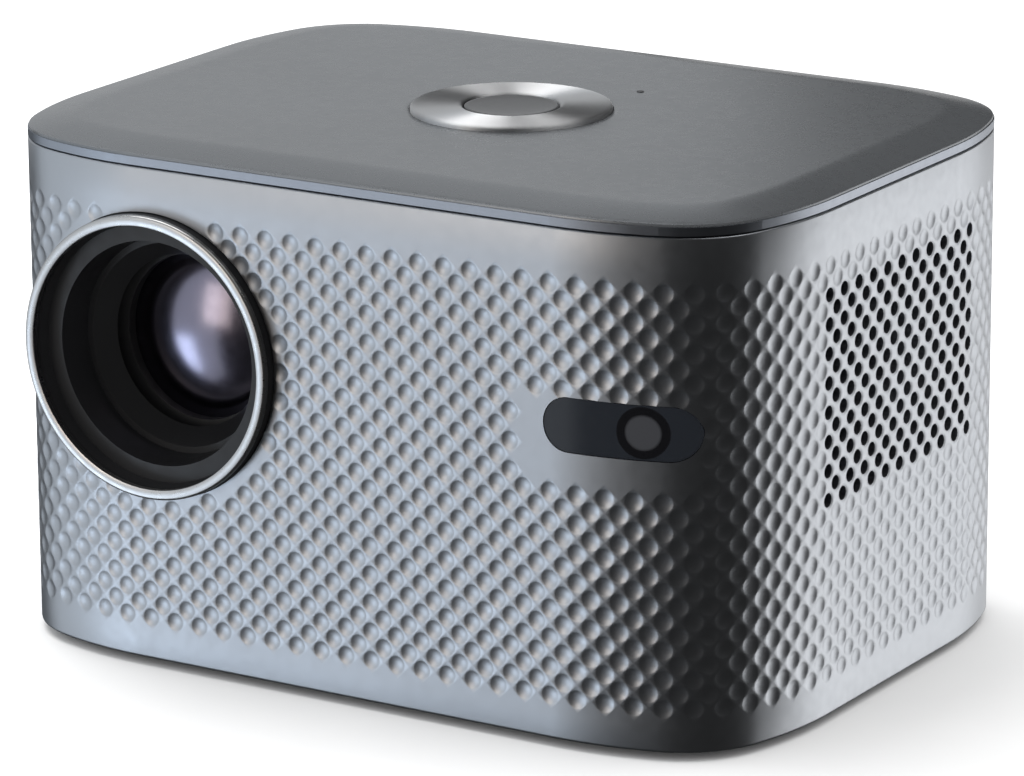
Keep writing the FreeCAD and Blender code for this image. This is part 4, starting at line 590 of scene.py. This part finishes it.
def is_plain(step, z):
    """Whether a cell stays smooth: round the sensor window, the lens, the rear panel and the tray."""
    x, y, _ = WALK[step % STEPS]
    if y < FRONT_ZONE:
        (left, right), (low, high) = WINDOW_PATCH
        by_window = left < x < right and low < z < high
        return by_window or math.hypot(x - LENS_X, z - LENS_Z) < LENS_PATCH
    if y > REAR_ZONE:
        half_wide, (low, high) = PANEL_PATCH
        by_panel = abs(x) < half_wide and low < z < high
        return by_panel or (abs(x) < TRAY_PATCH[0] and z < TRAY_PATCH[1])
    return False


def is_vent(step, z):
    """Whether a cell is bored through."""
    x, y, _ = WALK[step % STEPS]
    return VENT_LOW <= z <= VENT_HIGH and abs(x) > SIDE_ZONE and VENT_FRONT < y < VENT_REAR


def lattice_corner(verts, shared, step, up):
    """The number of the point at a step round the case and a height above the lowest row, made once."""
    key = (step % STEPS, up)
    if key not in shared:
        shared[key] = len(verts)
        verts.append(at(step, 0.0, ROW_LOW + up))
    return shared[key]


def add_cell(verts, faces, edge, step, z):
    """Fills a cell from its edge to its middle with the dimple's rings, or with flat ones."""
    share = 0.0 if is_plain(step, z) else 1.0
    rings = [edge]
    for radius, depth in DIMPLE:
        ring = []
        for i in range(DIMPLE_SIDES):
            angle = 2.0 * math.pi * i / DIMPLE_SIDES
            ring.append(near(step, radius * math.cos(angle), share * depth, z + radius * math.sin(angle)))
        rings.append(add_points(verts, ring))
    rings.append(add_points(verts, [at(step, share * DIMPLE_FLOOR, z)]))
    bridge_all(faces, rings)


def zigzag(verts, shared, row, side):
    """The free corners of the lowest row, with side -1, or of the highest, with side 1."""
    line = []
    for step in range(STEPS):
        beyond = (step - first_step(row)) % CELL
        away = min(beyond, CELL - beyond)
        line.append(lattice_corner(verts, shared, step, ROW_PITCH * row + side * (HALF_CELL - away)))
    return line


def sleeve_blank():
    """The closed sleeve with its dimples but no openings, and the middles of the cells to be bored."""
    verts = []
    faces = []
    shared = {}
    vents = []
    for row in range(ROWS):
        up = ROW_PITCH * row
        z = ROW_LOW + up
        for column in range(COLUMNS):
            step = first_step(row) + CELL * column
            edge = [lattice_corner(verts, shared, step + along, up + rise) for along, rise in DIAMOND]
            add_cell(verts, faces, edge, step, z)
            if is_vent(step, z):
                vents.append((step, z))

    band_low = ROW_LOW - HALF_CELL - SMOOTH_BAND
    band_high = ROW_LOW + ROW_PITCH * (ROWS - 1) + HALF_CELL + SMOOTH_BAND
    section = [(0.0, band_low)]
    section += [(inset, SLEEVE_LOW + rise) for inset, rise in LOW_LIP]
    section += [(WALL, SLEEVE_LOW), (WALL, SLEEVE_HIGH)]
    section += [(inset, SLEEVE_HIGH - drop) for inset, drop in HIGH_LIP]
    section += [(0.0, band_high)]
    rings = [zigzag(verts, shared, 0, -1)]
    for inset, z in section:
        rings.append(add_points(verts, [at(step, inset, z) for step in range(STEPS)]))
    rings.append(zigzag(verts, shared, ROWS - 1, 1))
    bridge_all(faces, rings)
    return new_object("sleeve_dimpled", verts, faces), vents


def vent_bars(vents):
    """A round bar through the wall at each bored cell's middle."""
    verts = []
    faces = []
    for step, z in vents:
        x, y, normal = WALK[step % STEPS]
        side = Vector((-normal[1], normal[0], 0.0))
        ends = []
        for reach in VENT_REACH:
            end = Vector((x + reach * normal[0], y + reach * normal[1], z))
            ring = []
            for i in range(VENT_SIDES):
                angle = 2.0 * math.pi * i / VENT_SIDES
                rise = Vector((0.0, 0.0, VENT_RADIUS * math.sin(angle)))
                ring.append((end + side * (VENT_RADIUS * math.cos(angle)) + rise) * MM)
            ends.append(add_points(verts, ring))
        faces += ends
        bridge(faces, *ends)
    return verts, faces


def make_sleeve():
    """The dimpled sleeve with its openings for lens, window, rear panel, tray and air."""
    sleeve, vents = sleeve_blank()

    hood_hole = RIM_RADIUS + HOOD_GAP
    low, high = FRONT_CUT
    profile = ((0.0, low), (hood_hole, low), (hood_hole, high), (0.0, high))
    carve(sleeve, *lathe(profile, (LENS_X, LENS_Z), "y", HOOD_HOLE_SIDES))

    wide = WINDOW_RIGHT - WINDOW_LEFT + 2 * WINDOW_GAP
    high = WINDOW_HIGH - WINDOW_LOW + 2 * WINDOW_GAP
    outline = rounded(wide, high, high / 2 - WINDOW_FLAT, (WINDOW_X, WINDOW_Z))
    carve(sleeve, *prism(outline, *FRONT_CUT))

    side_lip, low_lip = PANEL_LIPS
    top = PANEL_HIGH - side_lip
    bottom = PANEL_LOW + low_lip
    wide = 2 * (PANEL_HALF_WIDE - side_lip)
    outline = rounded(wide, top - bottom, PANEL_ROUND, (0.0, (top + bottom) / 2))
    carve(sleeve, *prism(outline, *REAR_CUT))

    side_gap, low_gap = BEZEL_GAPS
    wide = 2 * (BEZEL_HALF_WIDE + side_gap)
    high = BEZEL_HIGH - BEZEL_LOW + 2 * low_gap
    outline = rounded(wide, high, BEZEL_ROUND, (0.0, (BEZEL_LOW + BEZEL_HIGH) / 2))
    carve(sleeve, *prism(outline, *REAR_CUT))

    carve(sleeve, *vent_bars(vents))
    dress(sleeve, paint, "housing", "sleeve", "metallic_paint", sharp=SLEEVE_SHARP)


make_sleeve()

# ---------------------------------------------------------------- the top plate
TOP_STRIDE = 2  # outline steps between the plate's points
PLATE_INSET = HALF_WIDE - PLATE_HALF_WIDE
PLATE_EDGE = ((0.0, 0.0), (0.0, 0.52), (0.1, 0.74), (0.45, 0.88))  # (further inset, height above its foot)
PLATE_UNDER = 2.0  # inset of a ring of points under the plate, between its bore and its edge
BEVEL_INSET = 13.5
BEVEL_STEPS = 10
BEVEL_POWER = 1.35
BEVEL_END = 1.2  # from the bevel's end to a ring of points on the flat
RING_BORE = 13.5
WELL_GAP = 0.2
WELL_RADIUS = RING_RADIUS + WELL_GAP
WELL_FLOOR = 145.4
WELL_EDGE = ((1.8, 0.0), (0.15, 0.0), (0.0, 0.1))  # (beyond the well's radius, drop below the flat)


def make_top():
    """The dark plate: an upright edge, a crowned bevel and a flat with the control ring's well."""
    verts = []
    faces = []
    steps = range(0, STEPS, TOP_STRIDE)
    centre = Vector((0.0, MID_Y))

    def along_edge(inset, z):
        return add_points(verts, [at(step, inset, z) for step in steps])

    def circle(radius, z):
        points = []
        for step in steps:
            x, y, _ = WALK[step]
            ray = (Vector((x, y)) - centre).normalized()
            points.append(Vector((ray.x * radius * MM, (MID_Y + ray.y * radius) * MM, z * MM)))
        return add_points(verts, points)

    rings = [circle(RING_BORE, PLATE_LOW), along_edge(PLATE_UNDER, PLATE_LOW)]
    for further, rise in PLATE_EDGE:
        rings.append(along_edge(PLATE_INSET + further, PLATE_LOW + rise))
    start_inset = PLATE_INSET + PLATE_EDGE[-1][0]
    start_z = PLATE_LOW + PLATE_EDGE[-1][1]
    for i in range(1, BEVEL_STEPS + 1):
        part = i / BEVEL_STEPS
        rise = (PLATE_HIGH - start_z) * (1.0 - (1.0 - part) ** BEVEL_POWER)
        rings.append(along_edge(start_inset + (BEVEL_INSET - start_inset) * part, start_z + rise))
    rings.append(along_edge(BEVEL_INSET + BEVEL_END, PLATE_HIGH))
    for beyond, drop in WELL_EDGE:
        rings.append(circle(WELL_RADIUS + beyond, PLATE_HIGH - drop))
    rings.append(circle(WELL_RADIUS, WELL_FLOOR))
    rings.append(circle(RING_BORE, WELL_FLOOR))
    rings.append(rings[0])
    bridge_all(faces, rings)
    top = new_object("top_plate_skin", verts, faces)
    dress(top, plate, "housing", "top_plate", "plate_plastic")


make_top()

# ---------------------------------------------------------------- ring and button
RING_FOOT = 145.9
RING_CHAMFER = (0.4, 0.3)  # inward and upward, at its foot
RING_OUTER_EDGE = ((0.0, 0.75), (0.15, 0.4), (0.5, 0.15), (1.1, 0.02), (2.0, 0.0))  # (inset, drop)
RING_INNER_EDGE = ((1.7, 0.0), (1.0, 0.04), (0.4, 0.25), (0.1, 0.6), (0.0, 1.0))
RING_SIDES = 192
BUTTON_SIDES = 128
BUTTON_STEM = (4.0, 136.5)  # radius and foot
BUTTON_FACE = (  # (radius, drop) of the dished face and its round edge
    (0.0, 0.45), (4.0, 0.43), (8.0, 0.33), (10.4, 0.22), (12.0, 0.1),
    (12.6, 0.04), (13.0, 0.15), (13.15, 0.4), (BUTTON_RADIUS, 0.8),
)


def make_ring():
    """The turned control ring, with both of its upper edges rounded."""
    inward, upward = RING_CHAMFER
    profile = [(RING_BORE, RING_FOOT), (RING_RADIUS - inward, RING_FOOT)]
    profile += [(RING_RADIUS, RING_FOOT + upward)]
    profile += [(RING_RADIUS - inset, RING_TOP - drop) for inset, drop in RING_OUTER_EDGE]
    profile += [(RING_BORE + inset, RING_TOP - drop) for inset, drop in RING_INNER_EDGE]
    turned("control_ring_turned", profile, (0.0, MID_Y), "z", RING_SIDES,
           ring_metal, "housing", "control_ring", "brushed_aluminium")


def make_button():
    """The dished button on its stem."""
    stem_radius, stem_foot = BUTTON_STEM
    profile = [(radius, BUTTON_TOP - drop) for radius, drop in BUTTON_FACE]
    profile += [(BUTTON_RADIUS, WELL_FLOOR), (stem_radius, WELL_FLOOR), (stem_radius, stem_foot)]
    profile += [(0.0, stem_foot)]
    turned("power_button_cap", profile, (0.0, MID_Y), "z", BUTTON_SIDES,
           button_face, "power_button", "power_button", "button_plastic")


make_ring()
make_button()

# ---------------------------------------------------------------- lens
RIM_BORE = 36.7
RIM_BORE_TAPER = 0.05  # by which the bore is wider at the back
RIM_INNER_EDGE = ((0.0, 0.4), (0.1, 0.1), (0.35, 0.0))  # (from the bore, behind the front)
RIM_OUTER_EDGE = ((0.7, 0.0), (0.3, 0.1), (0.07, 0.35), (0.0, 0.8))  # (from the outside, behind the front)
GLASS_BALL = 52.53  # radius of the front lens's dome
GLASS_STEPS = 24
GLASS_SIDES = 128
RIM_SIDES = 192


def make_rim():
    """The bright rim, with round edges at its front."""
    profile = [(RIM_BORE + RIM_BORE_TAPER, RIM_BACK)]
    profile += [(RIM_BORE + inset, RIM_FRONT + behind) for inset, behind in RIM_INNER_EDGE]
    profile += [(RIM_RADIUS - inset, RIM_FRONT + behind) for inset, behind in RIM_OUTER_EDGE]
    profile += [(RIM_RADIUS, RIM_BACK)]
    turned("lens_rim_ring", profile, (LENS_X, LENS_Z), "y", RIM_SIDES,
           rim_metal, "housing", "lens_rim", "bright_rim")


def make_front_lens():
    """The front lens: a dome with a flat back."""
    profile = []
    for i in range(GLASS_STEPS + 1):
        reach = GLASS_RADIUS * i / GLASS_STEPS
        profile.append((reach, GLASS_FRONT + GLASS_BALL - math.sqrt(GLASS_BALL ** 2 - reach ** 2)))
    profile += [(GLASS_RADIUS, GLASS_BACK), (0.0, GLASS_BACK)]
    turned("front_lens_dome", profile, (LENS_X, LENS_Z), "y", GLASS_SIDES,
           front_glass, "lens_barrel", "front_lens", "optical_glass")


make_rim()
make_front_lens()

# ---------------------------------------------------------------- finishes of the other pieces
FINISHES = (
    (shaded_shell_paint, ("upper_shell",)),
    (dark, ("base_cover", "rear_panel", "mid_deck", "fan_frame", "audio_jack", "power_inlet",
            "disc_tray", "tray_bezel", "loader_plate")),
    (grey, ("sensor_module", "fan_rotor", "speaker_left", "speaker_right", "eject_button",
            "turntable", "pickup_sled")),
    (hood, ("lens_bezel",)),
    (baffle, ("engine_case", "engine_lid", "lens_mount", "lens_barrel")),
    (rubber, ("rubber_feet",)),
    (foam, ("air_filter",)),
    (board, ("button_board", "led_module", "main_board", "power_board")),
    (brass, ("tripod_insert",)),
    (black_steel, ("base_screws", "rear_screws")),
    (steel, ("focus_motor", "focus_screw", "hdmi_socket", "usb_sockets", "spindle_motor",
             "sled_screw", "guide_rods", "sled_motor")),
    (cast, ("heat_sink", "drive_chassis", "drive_lid", "tray_rails")),
    (light_pipe, ("status_light",)),
    (glass_dark, ("sensor_window",)),
    (glass, ("condenser_lens", "fresnel_lenses", "rear_lens")),
    (panel_film, ("lcd_panel",)),
    (mirror, ("fold_mirror",)),
)
for finish, names in FINISHES:
    for name in names:
        nodes[name].data.materials.clear()
        nodes[name].data.materials.append(finish)

# ---------------------------------------------------------------- floor and light
FLOOR_HALF = 6.0  # metres
WORLD_STRENGTH = 0.95
GLOSSY_STRENGTH = 0.025  # what reflections see of the world
LIGHT_AIM = Vector((0.0, 0.0, 0.07))  # metres
WHITE = (1.0, 1.0, 1.0)
# Name; azimuth and elevation in degrees; distance, width and height in metres; watts; colour.
SOFTBOXES = (
    ("softbox_front", -54.0, 2.0, 1.2, 1.7, 2.0, 7.8, (0.87, 0.935, 1.0)),
    ("softbox_right", 143.0, -15.0, 1.2, 0.85, 0.9, 3.8, WHITE),
    ("softbox_rear", 188.0, -10.0, 1.4, 1.0, 0.8, 1.9, WHITE),
    ("softbox_back", 234.0, 18.0, 1.6, 1.6, 1.5, 4.1, (0.96, 0.98, 1.0)),
    ("softbox_top", -90.0, 68.0, 1.8, 1.2, 1.2, 16.0, WHITE),
    ("softbox_high", 110.0, 62.0, 1.8, 1.3, 1.3, 8.0, WHITE),
    ("softbox_warm", -19.6, 5.9, 1.58, 0.46, 0.6, 1.9, (1.0, 0.87, 0.75)),
    ("softbox_cool", -42.1, -21.1, 1.58, 0.34, 0.46, 1.45, (0.7, 0.83, 1.0)),
)


def make_floor():
    """A white floor that keeps out of reflections and lets light from below through."""
    paper = surface("floor_paper", (0.92, 0.92, 0.92), 0.01, (0.8, 0.9),
                    pits=0.5, depth=0.02, strength=0.1)
    mesh = bpy.data.meshes.new("floor")
    spots = [(x * FLOOR_HALF, y * FLOOR_HALF, 0.0) for x, y in ((-1, -1), (1, -1), (1, 1), (-1, 1))]
    mesh.from_pydata(spots, [], [(0, 1, 2, 3)])
    mesh.materials.append(paper)
    floor = bpy.data.objects.new("floor", mesh)
    bpy.context.scene.collection.objects.link(floor)
    floor.visible_glossy = False
    floor.visible_shadow = False


def make_world():
    """A white studio that is dimmed in reflections, so that the lights shape them."""
    world = bpy.data.worlds.new("studio")
    bpy.context.scene.world = world
    world.use_nodes = True
    tree = world.node_tree
    background = tree.nodes["Background"]
    path = tree.nodes.new("ShaderNodeLightPath")
    dim = tree.nodes.new("ShaderNodeMapRange")
    dim.inputs["To Min"].default_value = WORLD_STRENGTH
    dim.inputs["To Max"].default_value = GLOSSY_STRENGTH
    tree.links.new(path.outputs["Is Glossy Ray"], dim.inputs["Value"])
    tree.links.new(dim.outputs["Result"], background.inputs["Strength"])
    background.inputs["Color"].default_value = (*WHITE, 1.0)


def make_softbox(name, azimuth, elevation, distance, width, height, power, colour):
    """A rectangular light that faces the case's middle."""
    light = bpy.data.lights.new(name, "AREA")
    light.shape = "RECTANGLE"
    light.size = width
    light.size_y = height
    light.energy = power
    light.color = colour
    box = bpy.data.objects.new(name, light)
    bpy.context.scene.collection.objects.link(box)
    away = direction(math.radians(azimuth), math.radians(elevation))
    box.location = LIGHT_AIM + away * distance
    box.rotation_mode = "QUATERNION"
    box.rotation_quaternion = away.to_track_quat("Z", "Y")
    box.visible_camera = False


make_floor()
make_world()
for row in SOFTBOXES:
    make_softbox(*row)
